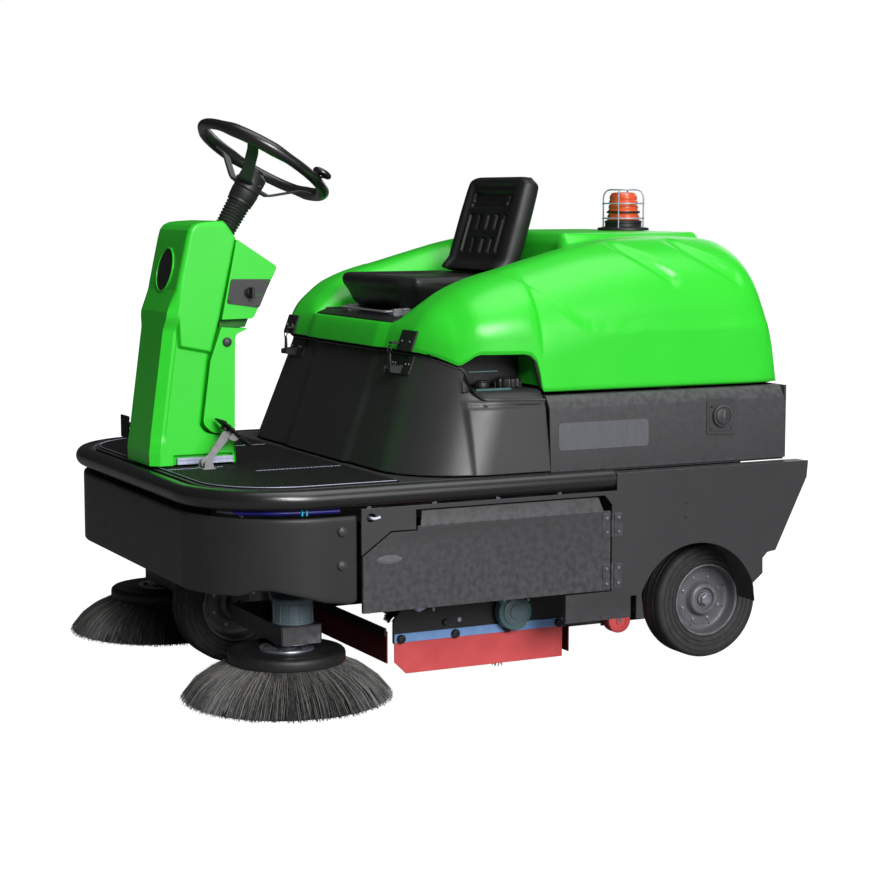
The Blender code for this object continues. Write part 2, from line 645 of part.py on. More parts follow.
def make_main_brush():
    centre = (0, MAIN_BRUSH_Y, MAIN_BRUSH_Z)
    axle, face = 0.455, 0.430
    profile = [(0.0, axle), (SHAFT_RADIUS, axle), (SHAFT_RADIUS, face), (MAIN_BRUSH_RADIUS, face),
               (MAIN_BRUSH_RADIUS, -face), (SHAFT_RADIUS, -face), (SHAFT_RADIUS, -axle),
               (0.0, -axle)]
    turn = pivot("main_brush_pivot", centre)
    turned("main_brush", profile, centre, (1, 0, 0), BRISTLE, turn)
    flat = (MAIN_BRUSH_Y, MAIN_BRUSH_Z)
    arch = arc(flat, TUNNEL_RADIUS + 0.004, 205, 32, 14) + arc(flat, TUNNEL_RADIUS, 32, 205, 14)
    tunnel = sheet("brush_tunnel", [arch], -0.4445, 0.4445, "X", PANEL)
    plates = []
    bore = arc(flat, SHAFT_RADIUS + 0.0005, 0, 337.5, 15)
    for _, side in SIDES:
        low, high = along_x(side, END_PLATE_X, END_PLATE_X + END_PLATE_THICK)
        plates.append(sheet("plate", [END_PLATE, bore], low, high, "X", PANEL))
    combine(tunnel, plates)
    outside = END_PLATE_X + END_PLATE_THICK + GAP
    for word, side in SIDES:
        low, high = along_x(side, outside, outside + 0.004)
        flap = sheet("side_flap_" + word, [RUBBER_FLAP], low, high, "X", RED_RUBBER)
        low, high = along_x(side, outside, outside + 0.007)
        strip = block("strip", (low, -0.286, 0.106), (high, 0.219, 0.130), STEEL)
        combine(flap, [strip])
    flap = block("front_flap", (-0.438, -0.300, 0.050), (0.438, -0.296, 0.137), RED_RUBBER)
    combine(flap, [block("clamp", (-0.439, -0.306, 0.122), (0.439, -0.298, 0.145), BLACK)])
    belt = arc(flat, 0.050, 150, 380, 10) + arc((-0.060, 0.280), 0.034, 20, 150, 6)
    sheet("belt_cover", [belt], 0.4585, 0.495, "X", MOTOR)
    cylinder("brush_motor", (-0.505, MAIN_BRUSH_Y, MAIN_BRUSH_Z), 0.055, 0.090, (1, 0, 0), MOTOR)


# ---------------------------------------------------------------- hood, seat and beacon


def hood_section(y, ridge, bottom, half):
    """Half of the hood's section at one station, from the middle out."""
    if ridge < RECESS_FLOOR or y > RECESS_END:
        floor = ridge
    else:
        floor = RECESS_FLOOR
    drop = ridge - bottom
    if floor < ridge:
        inner = [(0.0, floor), (RECESS_HALF, floor), (RECESS_HALF + 0.030, ridge - 0.030)]
    else:
        inner = [(0.0, ridge), (RECESS_HALF, ridge), (RECESS_HALF + 0.030, ridge)]
    outer = [(0.345, ridge), (0.400, ridge - 0.01 * drop)]
    for share, fall in ((0.45, 0.11), (0.83, 0.38)):
        outer.append((0.400 + (half - 0.400) * share, ridge - fall * drop))
    outer.append((half, ridge - 0.75 * drop))
    outer.append((half, bottom))
    return [(x, y, z) for x, z in inner + outer]


def make_hood():
    hinge = pivot("hood_pivot", (0, HOOD_HINGE_Y, HOOD_HINGE_Z))
    rows = []
    for station in HOOD_STATIONS:
        half = hood_section(*station)
        rows.append([(-x, y, z) for x, y, z in reversed(half[1:])] + half)
    shell_of("hood_shell", rows, HOOD_THICK, GREEN, hinge)
    return hinge


def make_seat(hood):
    base = block("seat_base", (-0.255, -0.196, RECESS_FLOOR + 0.001),
                 (0.255, 0.235, SEAT_BASE_TOP), BLACK, hood)
    rails = [block("rail", (side * 0.150 - 0.018, -0.150, SEAT_BASE_TOP - 0.002),
                   (side * 0.150 + 0.018, 0.200, SEAT_RAIL_TOP), STEEL, hood) for _, side in SIDES]
    combine(base, rails)
    slide = pivot("seat_slide", (0, 0, SEAT_RAIL_TOP))
    slide.parent = hood
    slide.matrix_parent_inverse = hood.matrix_basis.inverted()
    for name, outline, half in (("seat_cushion", CUSHION, SEAT_HALF),
                                ("seat_backrest", BACKREST, BACK_HALF)):
        sheet(name, [outline], -half, half, "X", SEAT, slide)


def make_beacon(hood):
    foot = BEACON_FOOT
    base = [(0.0, 0.030), (0.052, 0.030), (0.052, 0.010), (0.075, 0.008), (0.075, 0.0),
            (0.0, 0.0)]
    stand = turned("beacon_base", base, foot, (0, 0, 1), BLACK, hood)
    wire = 0.0025
    pieces = []
    for radius, height in ((0.060, 0.035), (0.060, 0.078), (0.040, 0.118)):
        ring = [(foot.x + x, foot.y + y, foot.z + height) for x, y in arc((0, 0), radius, 0, 330, 11)]
        pieces.append(as_mesh(tube("ring", ring, wire, CAGE, hood, 0, True)))
    for angle in range(45, 360, 90):
        across = Vector((math.cos(math.radians(angle)), math.sin(math.radians(angle)), 0))
        route = [(0.060, 0.004), (0.060, 0.095), (0.054, 0.110), (0.038, 0.118)]
        upright = [foot + across * r + Vector((0, 0, h)) for r, h in route]
        pieces.append(as_mesh(tube("upright", upright, wire, CAGE, hood, 0)))
    combine(stand, pieces)
    lens = [(0.0, 0.112), (0.034, 0.112), (0.042, 0.104), (0.046, 0.031), (0.0, 0.031)]
    turned("beacon_lens", lens, foot, (0, 0, 1), LENS, hood)


def make_hood_latches():
    for word, side in SIDES:
        x = side * 0.354
        turn = pivot("latch_pivot_" + word, (x, -0.252, 0.812))
        lever = block("hood_latch_" + word, (x - 0.016, -0.256, 0.806), (x + 0.016, -0.244, 0.890),
                      STEEL, turn)
        combine(lever, [cylinder("pin", (x, -0.250, 0.811), 0.0045, 0.040, (1, 0, 0), STEEL, turn,
                                 COARSE)])


# ---------------------------------------------------------------- doors, hopper and inner units


def make_doors():
    for word, side in SIDES:
        hinge = pivot("door_pivot_" + word, (side * DOOR_HINGE_X, DOOR_HINGE_Y, 0.360))
        low, high = along_x(side, BODY_HALF - 0.012, BODY_HALF)
        sheet("side_door_" + word, [DOOR], low, high, "X", PANEL, hinge)


def make_hopper():
    slide = pivot("hopper_slide", (0, 0.835, 0.300))
    hopper = block("hopper", HOPPER_LOW, HOPPER_HIGH, PANEL, slide)
    space_low = HOPPER_LOW + Vector((HOPPER_WALL, HOPPER_WALL, HOPPER_WALL))
    space_high = HOPPER_HIGH + Vector((-HOPPER_WALL, -HOPPER_WALL, 0.05))
    space = block("space", space_low, space_high, PANEL)
    hopper = combine(hopper, [space], "DIFFERENCE")
    # The front wall is low, so that the main brush can throw the dirt over it.
    mouth = block("mouth", (-0.385, 0.250, 0.200), (0.385, 0.270, 0.520), PANEL)
    hopper = combine(hopper, [mouth], "DIFFERENCE")
    grip = [(-0.120, 0.838, 0.400), (-0.120, 0.864, 0.400), (0.120, 0.864, 0.400),
            (0.120, 0.838, 0.400)]
    combine(hopper, [as_mesh(tube("grip", grip, 0.007, STEEL, slide))])
    for word, side in SIDES:
        place = (side * 0.412, 0.413, 0.098)
        turn = pivot("roller_pivot_" + word, place)
        cylinder("hopper_roller_" + word, place, ROLLER_RADIUS, 0.040, (1, 0, 0), RED_RUBBER, turn)


def make_inner_units():
    block("battery_pack", (-0.420, 0.120, DECK_TOP + GAP), (0.420, 0.740, 0.738), MOTOR)
    block("filter_box", (-0.300, -0.150, DECK_TOP + GAP), (0.300, 0.080, 0.800), MOTOR)
    block("spray_tank", (0.340, -0.105, DECK_TOP + GAP), (0.560, 0.0800, 0.7640), BLACK)
    large = (0.500, 0.020, 0.7645)
    small = (0.500, -0.055, 0.7645)
    wide = [(0.0, 0.028), (0.030, 0.028), (0.036, 0.022), (0.036, 0.0), (0.0, 0.0)]
    slim = [(0.0, 0.024), (0.018, 0.024), (0.021, 0.019), (0.021, 0.0), (0.0, 0.0)]
    for name, place, profile in (("filler_cap", large, wide), ("vent_cap", small, slim)):
        turned(name, profile, place, (0, 0, 1), BLACK, pivot(name + "_pivot", place))


make_frame()
make_deck()
make_skirt()
make_side_panels()
make_cowl()
make_rear_covers()
make_column()
make_steering_wheel()
make_pedals()
make_running_gear()
make_side_brushes()
make_main_brush()
HOOD = make_hood()
make_seat(HOOD)
make_beacon(HOOD)
make_hood_latches()
make_doors()
make_hopper()
make_inner_units()
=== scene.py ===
"""Looks of the ride-on sweeper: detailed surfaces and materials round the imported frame.

Same frame as the CAD: metres, +Z up, the machine drives towards -Y, its left side is +X.
"""

import random
from math import atan2, copysign, cos, dist, hypot, pi, radians, sin, sqrt, tan, tau

import bmesh
import bpy
from mathutils import Matrix, Vector, noise


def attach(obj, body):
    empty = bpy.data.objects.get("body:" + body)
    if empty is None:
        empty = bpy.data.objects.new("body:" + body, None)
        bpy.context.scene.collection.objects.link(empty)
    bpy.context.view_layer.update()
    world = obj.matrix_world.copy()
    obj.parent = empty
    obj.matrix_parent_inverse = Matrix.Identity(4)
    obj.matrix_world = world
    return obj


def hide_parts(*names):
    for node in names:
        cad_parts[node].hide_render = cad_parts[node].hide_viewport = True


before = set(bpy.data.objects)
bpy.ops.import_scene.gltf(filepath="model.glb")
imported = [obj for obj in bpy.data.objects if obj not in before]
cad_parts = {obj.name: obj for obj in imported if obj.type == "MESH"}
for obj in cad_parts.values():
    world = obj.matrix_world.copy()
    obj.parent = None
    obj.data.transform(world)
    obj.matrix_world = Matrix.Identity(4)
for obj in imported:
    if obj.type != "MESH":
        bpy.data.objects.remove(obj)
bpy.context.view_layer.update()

X_AXIS, Y_AXIS, Z_AXIS = Vector((1, 0, 0)), Vector((0, 1, 0)), Vector((0, 0, 1))
SIDES = (("left", 1), ("right", -1))

# ---------------------------------------------------------------- camera, floor and light


def make_stage():
    camera_data = bpy.data.cameras.new("camera")
    camera_data.lens = 84.65
    camera_data.sensor_width = 36.0
    camera_data.clip_end = 60.0
    camera = bpy.data.objects.new("camera", camera_data)
    bpy.context.scene.collection.objects.link(camera)
    azimuth, pitch = radians(63.475), radians(6.704)
    camera.location = (5.226, -2.5345, 1.2581)
    forward = Vector((-sin(azimuth) * cos(pitch), cos(azimuth) * cos(pitch),
                      -sin(pitch)))
    camera.rotation_mode = "QUATERNION"
    camera.rotation_quaternion = forward.to_track_quat("-Z", "Y")
    bpy.context.scene.camera = camera
    bpy.context.scene.view_settings.view_transform = "Standard"

    world = bpy.data.worlds.new("studio")
    bpy.context.scene.world = world
    world.use_nodes = True
    tree = world.node_tree
    ambient = tree.nodes["Background"]
    ambient.inputs["Color"].default_value = (1.0, 1.0, 1.0, 1.0)
    ambient.inputs["Strength"].default_value = 0.035
    backdrop = tree.nodes.new("ShaderNodeBackground")
    backdrop.inputs["Color"].default_value = (1.0, 1.0, 1.0, 1.0)
    seen = tree.nodes.new("ShaderNodeLightPath")
    mix = tree.nodes.new("ShaderNodeMixShader")
    tree.links.new(seen.outputs["Is Camera Ray"], mix.inputs["Fac"])
    tree.links.new(ambient.outputs["Background"], mix.inputs[1])
    tree.links.new(backdrop.outputs["Background"], mix.inputs[2])
    tree.links.new(mix.outputs["Shader"], tree.nodes["World Output"].inputs["Surface"])

    floor_mesh = bpy.data.meshes.new("floor")
    bm = bmesh.new()
    bmesh.ops.create_grid(bm, x_segments=1, y_segments=1, size=30.0)
    bm.to_mesh(floor_mesh)
    bm.free()
    floor = bpy.data.objects.new("floor", floor_mesh)
    floor.location = (0, 0, -0.0005)
    bpy.context.scene.collection.objects.link(floor)
    paint = bpy.data.materials.new("pale_floor")
    paint.use_nodes = True
    shader = paint.node_tree.nodes["Principled BSDF"]
    shader.inputs["Base Color"].default_value = (0.22, 0.22, 0.22, 1.0)
    shader.inputs["Roughness"].default_value = 0.9
    shader.inputs["Specular IOR Level"].default_value = 0.0
    shader.inputs["Emission Color"].default_value = (1.0, 1.0, 1.0, 1.0)
    seen = paint.node_tree.nodes.new("ShaderNodeLightPath")
    paint.node_tree.links.new(seen.outputs["Is Camera Ray"], shader.inputs["Emission Strength"])
    floor_mesh.materials.append(paint)

    def lamp(name, place, target, size, power):
        data = bpy.data.lights.new(name, "AREA")
        data.shape = "SQUARE"
        data.size = size
        data.energy = power
        obj = bpy.data.objects.new(name, data)
        obj.location = place
        direction = Vector(target) - Vector(place)
        obj.rotation_mode = "QUATERNION"
        obj.rotation_quaternion = direction.to_track_quat("-Z", "Y")
        bpy.context.scene.collection.objects.link(obj)

    lamp("side_softbox", (5.5, 0.9, 1.9), (0, 0.1, 0.6), 3.0, 60)
    lamp("top_softbox", (0.8, 0.6, 4.5), (0, 0.1, 0.6), 3.0, 40)
    lamp("camera_side_strip", (4.6, -1.6, 3.4), (0, 0.0, 0.7), 0.9, 60)
    lamp("back_fill", (-3.5, 4.5, 2.8), (0, 0.2, 0.6), 3.0, 40)
    for name, toward, energy, spread in (("key_sun", (1.0, -0.04, 0.42), 2.1, 22),
                                         ("top_sun", (0.25, 0.15, 1.0), 0.7, 60)):
        data = bpy.data.lights.new(name, "SUN")
        data.energy = energy
        data.angle = radians(spread)
        obj = bpy.data.objects.new(name, data)
        obj.rotation_mode = "QUATERNION"
        obj.rotation_quaternion = Vector(toward).to_track_quat("Z", "Y")
        bpy.context.scene.collection.objects.link(obj)


# ---------------------------------------------------------------- materials


def linear(r, g, b):
    """An sRGB colour from 0 to 255 as the linear values that a shader takes."""
    def one(v):
        v /= 255.0
        return v / 12.92 if v <= 0.04045 else ((v + 0.055) / 1.055) ** 2.4
    return (one(r), one(g), one(b), 1.0)


class Finish:
    """A Principled material built up from named layers of noise."""

    def __init__(self, name, slot, colour, roughness, metallic=0.0):
        self.material = bpy.data.materials.new(name)
        self.material.use_nodes = True
        self.tree = self.material.node_tree
        self.shader = self.tree.nodes["Principled BSDF"]
        self.colour = linear(*colour)
        self.shader.inputs["Base Color"].default_value = self.colour
        self.shader.inputs["Roughness"].default_value = roughness
        self.shader.inputs["Metallic"].default_value = metallic
        self.place = self.tree.nodes.new("ShaderNodeTexCoord").outputs["Object"]
        self.base = None
        self.bump = None

    def link(self, source, target):
        self.tree.links.new(source, target)

    def noise(self, scale, detail=3.0, stretch=None):
        texture = self.tree.nodes.new("ShaderNodeTexNoise")
        texture.inputs["Scale"].default_value = scale
        texture.inputs["Detail"].default_value = detail
        source = self.place
        if stretch:
            mapping = self.tree.nodes.new("ShaderNodeMapping")
            mapping.inputs["Scale"].default_value = stretch
            self.link(source, mapping.inputs["Vector"])
            source = mapping.outputs["Vector"]
        self.link(source, texture.inputs["Vector"])
        return texture.outputs["Fac"]

    def ramp(self, value, low, high):
        """Stretch the part of a value between low and high over 0 to 1."""
        spread = self.tree.nodes.new("ShaderNodeMapRange")
        spread.inputs["From Min"].default_value = low
        spread.inputs["From Max"].default_value = high
        self.link(value, spread.inputs["Value"])
        return spread.outputs["Result"]

    def tint(self, value, colour):
        """Mix another colour over the base where the value is high."""
        mix = self.tree.nodes.new("ShaderNodeMix")
        mix.data_type = "RGBA"
        if self.base is None:
            mix.inputs["A"].default_value = self.colour
        else:
            self.link(self.base, mix.inputs["A"])
        mix.inputs["B"].default_value = linear(*colour)
        self.link(value, mix.inputs["Factor"])
        self.base = mix.outputs["Result"]
        self.link(self.base, self.shader.inputs["Base Color"])
        return self

    def mottle(self, colour, scale, low=0.35, high=0.75, detail=4.0, stretch=None):
        return self.tint(self.ramp(self.noise(scale, detail, stretch), low, high), colour)

    def edge_wear(self, colour, strength=0.6):
        """Lighter colour along raised edges, broken up by noise."""
        geometry = self.tree.nodes.new("ShaderNodeNewGeometry")
        edges = self.ramp(geometry.outputs["Pointiness"], 0.53, 0.6)
        times = self.tree.nodes.new("ShaderNodeMath")
        times.operation = "MULTIPLY"
        self.link(edges, times.inputs[0])
        self.link(self.ramp(self.noise(60.0), 0.35, 0.6), times.inputs[1])
        softer = self.tree.nodes.new("ShaderNodeMath")
        softer.operation = "MULTIPLY"
        self.link(times.outputs[0], softer.inputs[0])
        softer.inputs[1].default_value = strength
        return self.tint(softer.outputs[0], colour)

    def rough(self, low, high, scale=25.0):
        """Let the roughness wander between two values."""
        spread = self.tree.nodes.new("ShaderNodeMapRange")
        spread.inputs["To Min"].default_value = low
        spread.inputs["To Max"].default_value = high
        self.link(self.noise(scale), spread.inputs["Value"])
        self.link(spread.outputs["Result"], self.shader.inputs["Roughness"])
        return self

    def grain(self, scale, height, detail=2.0, stretch=None):
        node = self.tree.nodes.new("ShaderNodeBump")
        node.inputs["Strength"].default_value = 0.6
        node.inputs["Distance"].default_value = height
        self.link(self.noise(scale, detail, stretch), node.inputs["Height"])
        if self.bump is not None:
            self.link(self.bump, node.inputs["Normal"])
        self.bump = node.outputs["Normal"]
        self.link(self.bump, self.shader.inputs["Normal"])
        return self

    def set(self, socket, value):
        self.shader.inputs[socket].default_value = value
        return self


def make_materials():
    made = {
        "green": Finish("green_shell", "green_plastic", (50, 213, 48), 0.32)
        .mottle((54, 217, 52), 5.0).rough(0.29, 0.34).grain(900.0, 0.0001)
        .set("Specular IOR Level", 0.55),
        # A darker copy of the green shell: painted shade, for the cut-out's lining and the recessed neck and
        # marks.
        "green_painted_shade": Finish("green_painted_shade", "green_plastic", (14, 92, 14), 0.6).mottle((20, 110, 18), 30.0),
        "black": Finish("black_moulding", "black_plastic", (38, 38, 39), 0.42)
        .mottle((46, 46, 47), 12.0).edge_wear((90, 90, 92), 0.4).rough(0.36, 0.5)
        .grain(1100.0, 0.00012),
        "cowl": Finish("cowl_moulding", "black_plastic", (49, 49, 50), 0.4)
        .mottle((52, 52, 53), 9.0).edge_wear((110, 110, 112), 0.35).rough(0.36, 0.44)
        .grain(1100.0, 0.0001),
        "rail": Finish("bumper_skin", "black_plastic", (26, 26, 27), 0.28)
        .mottle((29, 29, 30), 14.0).rough(0.25, 0.31).grain(900.0, 0.00006)
        .set("Specular IOR Level", 0.8),
        "skirt": Finish("skirt_moulding", "black_plastic", (42, 42, 43), 0.42)
        .mottle((46, 46, 47), 10.0).rough(0.38, 0.48).grain(900.0, 0.00008)
        .set("Specular IOR Level", 0.35),
        "panel": Finish("powder_coat", "panel_steel", (52, 52, 54), 0.48)
        .mottle((55, 55, 57), 8.0).edge_wear((128, 128, 132), 0.5).rough(0.43, 0.5)
        .grain(500.0, 0.00015),
        "grey": Finish("grey_cover", "grey_plastic", (56, 56, 58), 0.44)
        .mottle((59, 59, 61), 7.0).edge_wear((130, 130, 134), 0.4).rough(0.41, 0.48)
        .grain(700.0, 0.00012),
        "mat": Finish("deck_rubber", "mat_rubber", (14, 14, 15), 0.7)
        .mottle((19, 19, 20), 20.0).grain(240.0, 0.0004, 5.0).rough(0.6, 0.8)
        .set("Specular IOR Level", 0.3),
        "boot": Finish("bellows_rubber", "mat_rubber", (30, 30, 31), 0.5).mottle((44, 44, 45), 40.0)
        .grain(600.0, 0.0002),
        "tyre": Finish("tyre_tread", "tyre_rubber", (40, 40, 41), 0.72)
        .mottle((52, 52, 53), 45.0, 0.45, 0.8).edge_wear((100, 98, 95), 0.5).grain(350.0, 0.0004, 5.0),
        "rim": Finish("rim_enamel", "rim_paint", (98, 98, 102), 0.4)
        .mottle((88, 88, 92), 25.0).edge_wear((170, 170, 175), 0.5).grain(400.0, 0.0001),
        "zinc": Finish("zinc_plate", "zinc_steel", (186, 189, 200), 0.32, 0.85)
        .mottle((160, 163, 178), 60.0).rough(0.26, 0.42, 80.0).grain(300.0, 0.00006),
        "dull_steel": Finish("pedal_steel", "zinc_steel", (150, 150, 152), 0.5, 0.35)
        .mottle((128, 128, 131), 70.0).rough(0.42, 0.6, 90.0).grain(300.0, 0.0001),
        "latch_steel": Finish("blackened_steel", "zinc_steel", (44, 44, 46), 0.4, 0.4)
        .mottle((60, 60, 62), 60.0).rough(0.34, 0.5, 80.0),
        "lavender": Finish("anodised_bar", "zinc_steel", (200, 203, 226), 0.35, 0.5)
        .mottle((182, 186, 214), 40.0, stretch=(1, 12, 1)).rough(0.3, 0.45),
        "blue": Finish("blue_strip", "zinc_steel", (118, 160, 216), 0.42, 0.1)
        .mottle((104, 146, 204), 30.0).edge_wear((200, 215, 235), 0.5).rough(0.36, 0.5),
        "hose_blue": Finish("blue_hose", "mat_rubber", (24, 26, 120), 0.4).mottle((18, 20, 96), 60.0),
        "cyan": Finish("cyan_clip", "mat_rubber", (40, 190, 205), 0.4).mottle((30, 170, 186), 60.0),
        "red": Finish("red_flap", "red_rubber", (214, 82, 84), 0.55)
        .mottle((200, 70, 72), 14.0).rough(0.48, 0.65).grain(300.0, 0.0003),
        "dark_red": Finish("dark_red_flap", "red_rubber", (110, 16, 16), 0.6)
        .mottle((92, 12, 12), 20.0).grain(300.0, 0.0003),
        "motor": Finish("motor_enamel", "motor_paint", (92, 108, 116), 0.45)
        .mottle((80, 96, 104), 30.0).edge_wear((150, 160, 168), 0.5).rough(0.38, 0.5),
        "teal": Finish("belt_cover_paint", "motor_paint", (72, 104, 106), 0.5)
        .mottle((60, 92, 94), 20.0).rough(0.42, 0.55),
        "bristle": Finish("nylon_bristle", "bristle", (52, 52, 52), 0.5)
        .mottle((86, 84, 82), 150.0, 0.45, 0.7).rough(0.4, 0.6, 60.0),
        # A lighter copy of the bristle: painted highlight on a few strands.
        "bristle_painted_highlight": Finish("painted_highlight_strands", "bristle", (128, 126, 122), 0.5)
        .mottle((92, 90, 88), 150.0).rough(0.4, 0.6, 60.0),
        # A darker copy of the bristle: painted shade inside the bristle mass.
        "bristle_shade_core": Finish("bristle_shade_core", "bristle", (22, 22, 22), 0.85).mottle((30, 30, 30), 90.0),
        "seat": Finish("seat_vinyl", "seat_skin", (25, 25, 26), 0.45)
        .mottle((31, 31, 32), 16.0).rough(0.38, 0.52).grain(420.0, 0.0003, 4.0)
        .set("Specular IOR Level", 0.4),
        # A lighter copy of the seat vinyl: painted highlight along the pressed line.
        "seat_painted_highlight": Finish("seat_line_highlight", "seat_skin", (40, 40, 41), 0.45).mottle((48, 48, 49), 30.0),
        "lens": Finish("orange_lens", "beacon_lens", (226, 84, 52), 0.16)
        .mottle((238, 104, 66), 40.0).rough(0.12, 0.22).set("Coat Weight", 0.5),
        "cage": Finish("cage_enamel", "cage_wire", (176, 184, 204), 0.3, 0.35)
        .mottle((156, 164, 188), 60.0).rough(0.25, 0.4),
        "dark": Finish("dark_fitting", "black_plastic", (24, 24, 25), 0.5).mottle((32, 32, 33), 40.0)
        .grain(700.0, 0.0001),
        "battery": Finish("battery_shell", "battery_case", (70, 76, 84), 0.5)
        .mottle((58, 64, 72), 10.0).grain(500.0, 0.0002),
        "label": Finish("blank_label", "grey_plastic", (96, 97, 102), 0.3)
        .mottle((88, 89, 94), 25.0, stretch=(1, 8, 1)).rough(0.26, 0.36),
    }
    return {name: finish.material for name, finish in made.items()}


# ---------------------------------------------------------------- mesh helpers


def ride(obj, body, nodes=()):
    """Give a piece to a body, and hide the imported parts that it stands in for."""
    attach(obj, body)
    if nodes:
        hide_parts(*nodes)
    return obj


def put(name, bm, material, body="chassis", nodes=(), sharp=35.0, bevel=0.0, segments=3):
    """Turn a bmesh into a piece, with smooth shading and rounded edges."""
    bmesh.ops.remove_doubles(bm, verts=bm.verts, dist=0.00002)
    bmesh.ops.recalc_face_normals(bm, faces=bm.faces)
    mesh = bpy.data.meshes.new(name)
    bm.to_mesh(mesh)
    bm.free()
    mesh.materials.append(M[material])
    mesh.shade_smooth()
    mesh.set_sharp_from_angle(angle=radians(sharp))
    obj = bpy.data.objects.new(name, mesh)
    bpy.context.scene.collection.objects.link(obj)
    if bevel:
        edge = obj.modifiers.new("rounded_edges", "BEVEL")
        edge.width = bevel
        edge.segments = segments
        edge.limit_method = "ANGLE"
        edge.angle_limit = radians(sharp)
        edge.harden_normals = True
    return ride(obj, body, nodes)


def add_slab(bm, outline, low, high, axis="X", holes=()):
    """Add a flat outline, with any holes, thickened between two levels along an axis."""
    low, high = sorted((low, high))

    def place(u, v, w):
        return {"X": (w, u, v), "Y": (u, w, v), "Z": (u, v, w)}[axis]
    if not holes:
        caps = []
        for level in (low, high):
            caps.append(bm.faces.new([bm.verts.new(place(u, v, level)) for u, v in outline]))
        a, b = caps[0].verts[:], caps[1].verts[:]
        for i in range(len(a)):
            j = (i + 1) % len(a)
            bm.faces.new((a[i], a[j], b[j], b[i]))
        return
    loops = [outline, *holes]
    rings = []
    for level in (low, high):
        edges = []
        level_rings = []
        for loop in loops:
            verts = [bm.verts.new(place(u, v, level)) for u, v in loop]
            level_rings.append(verts)
            for i, vert in enumerate(verts):
                edges.append(bm.edges.new((vert, verts[(i + 1) % len(verts)])))
        bmesh.ops.triangle_fill(bm, edges=edges, use_beauty=True, use_dissolve=False)
        rings.append(level_rings)
    for a, b in zip(*rings):
        for i in range(len(a)):
            j = (i + 1) % len(a)
            bm.faces.new((a[i], a[j], b[j], b[i]))


def slab(name, outline, low, high, axis, material, body="chassis", nodes=(), bevel=0.002, holes=()):
    bm = bmesh.new()
    add_slab(bm, outline, low, high, axis, holes)
    return put(name, bm, material, body, nodes, bevel=bevel)


def add_box(bm, low, high, turn=None):
    """Add a box between two opposite corners, which may be given either way round."""
    low, high = zip(*(sorted(pair) for pair in zip(low, high)))
    centre = (Vector(low) + Vector(high)) / 2
    size = Vector(high) - Vector(low)
    matrix = Matrix.Translation(centre) @ (turn or Matrix.Identity(4)) @ Matrix.Diagonal((*size, 1))
    bmesh.ops.create_cube(bm, size=1.0, matrix=matrix)


def box(name, low, high, material, body="chassis", nodes=(), bevel=0.002):
    bm = bmesh.new()
    add_box(bm, low, high)
    return put(name, bm, material, body, nodes, bevel=bevel)


def aim(origin, axis):
    """The matrix that takes +Z at the world's origin to the axis at this origin."""
    turn = Z_AXIS.rotation_difference(Vector(axis)).to_matrix().to_4x4()
    return Matrix.Translation(Vector(origin)) @ turn


def add_lathe(bm, profile, origin, axis, steps=48, wobble=None):
    """Turn a profile of (radius, height) points. A wobble changes the radius by angle."""
    matrix = aim(origin, axis)
    rings = []
    for radius, height in profile:
        if radius < 1e-6:
            rings.append([bm.verts.new(matrix @ Vector((0, 0, height)))])
            continue
        ring = []
        for i in range(steps):
            angle = tau * i / steps
            r = radius if wobble is None else wobble(radius, angle)
            ring.append(bm.verts.new(matrix @ Vector((r * cos(angle), r * sin(angle),
                                                      height))))
        rings.append(ring)
    for a, b in zip(rings, rings[1:]):
        for i in range(steps):
            j = (i + 1) % steps
            if len(a) == 1 and len(b) > 1:
                bm.faces.new((a[0], b[i], b[j]))
            elif len(b) == 1 and len(a) > 1:
                bm.faces.new((a[i], a[j], b[0]))
            elif len(a) > 1:
                bm.faces.new((a[i], a[j], b[j], b[i]))


def lathe(name, profile, origin, axis, material, body="chassis", nodes=(), steps=48, wobble=None, bevel=0.0,
          sharp=35.0):
    bm = bmesh.new()
    add_lathe(bm, profile, origin, axis, steps, wobble)
    return put(name, bm, material, body, nodes, sharp=sharp, bevel=bevel)


def smooth_path(points, per_span=6, closed=False):
    """Catmull-Rom points through a route."""
    points = [Vector(p) for p in points]
    count = len(points)
    result = []
    for i in range(count if closed else count - 1):
        if closed:
            a, b, c, d = (points[(i + k - 1) % count] for k in range(4))
        else:
            a, b = points[max(i - 1, 0)], points[i]
            c, d = points[i + 1], points[min(i + 2, count - 1)]
        for k in range(per_span):
            t = k / per_span
            result.append(0.5 * ((2 * b) + (c - a) * t + (2 * a - 5 * b + 4 * c - d) * t * t
                                 + (3 * b - a - 3 * c + d) * t ** 3))
    if not closed:
        result.append(points[-1])
    return result


def add_tube(bm, points, radius, sides=12, closed=False, flat=1.0, up=Z_AXIS):
    """Skin a round or oval tube along points; flat squeezes it along its up direction."""
    points = [Vector(p) for p in points]
    count = len(points)
    rings = []
    side = None
    for i, point in enumerate(points):
        if closed:
            ahead = points[(i + 1) % count] - points[i - 1]
        else:
            ahead = points[min(i + 1, count - 1)] - points[max(i - 1, 0)]
        ahead.normalize()
        guess = up.cross(ahead) if side is None else side - ahead * side.dot(ahead)
        if guess.length < 1e-4:
            guess = X_AXIS.cross(ahead)
        side = guess.normalized()
        top = ahead.cross(side)
        r = radius(i / max(count - 1, 1)) if callable(radius) else radius
        ring = []
        for k in range(sides):
            angle = tau * k / sides
            ring.append(bm.verts.new(point + side * (r * cos(angle))
                                     + top * (r * flat * sin(angle))))
        rings.append(ring)
    spans = zip(rings, rings[1:] + rings[:1]) if closed else zip(rings, rings[1:])
    for a, b in spans:
        for k in range(sides):
            j = (k + 1) % sides
            bm.faces.new((a[k], a[j], b[j], b[k]))
    if not closed:
        bm.faces.new(rings[0][::-1])
        bm.faces.new(rings[-1])


def tube(name, points, radius, material, body="chassis", nodes=(), sides=12, closed=False, flat=1.0,
         up=Z_AXIS):
    bm = bmesh.new()
    add_tube(bm, points, radius, sides, closed, flat, up)
    return put(name, bm, material, body, nodes, sharp=50.0)


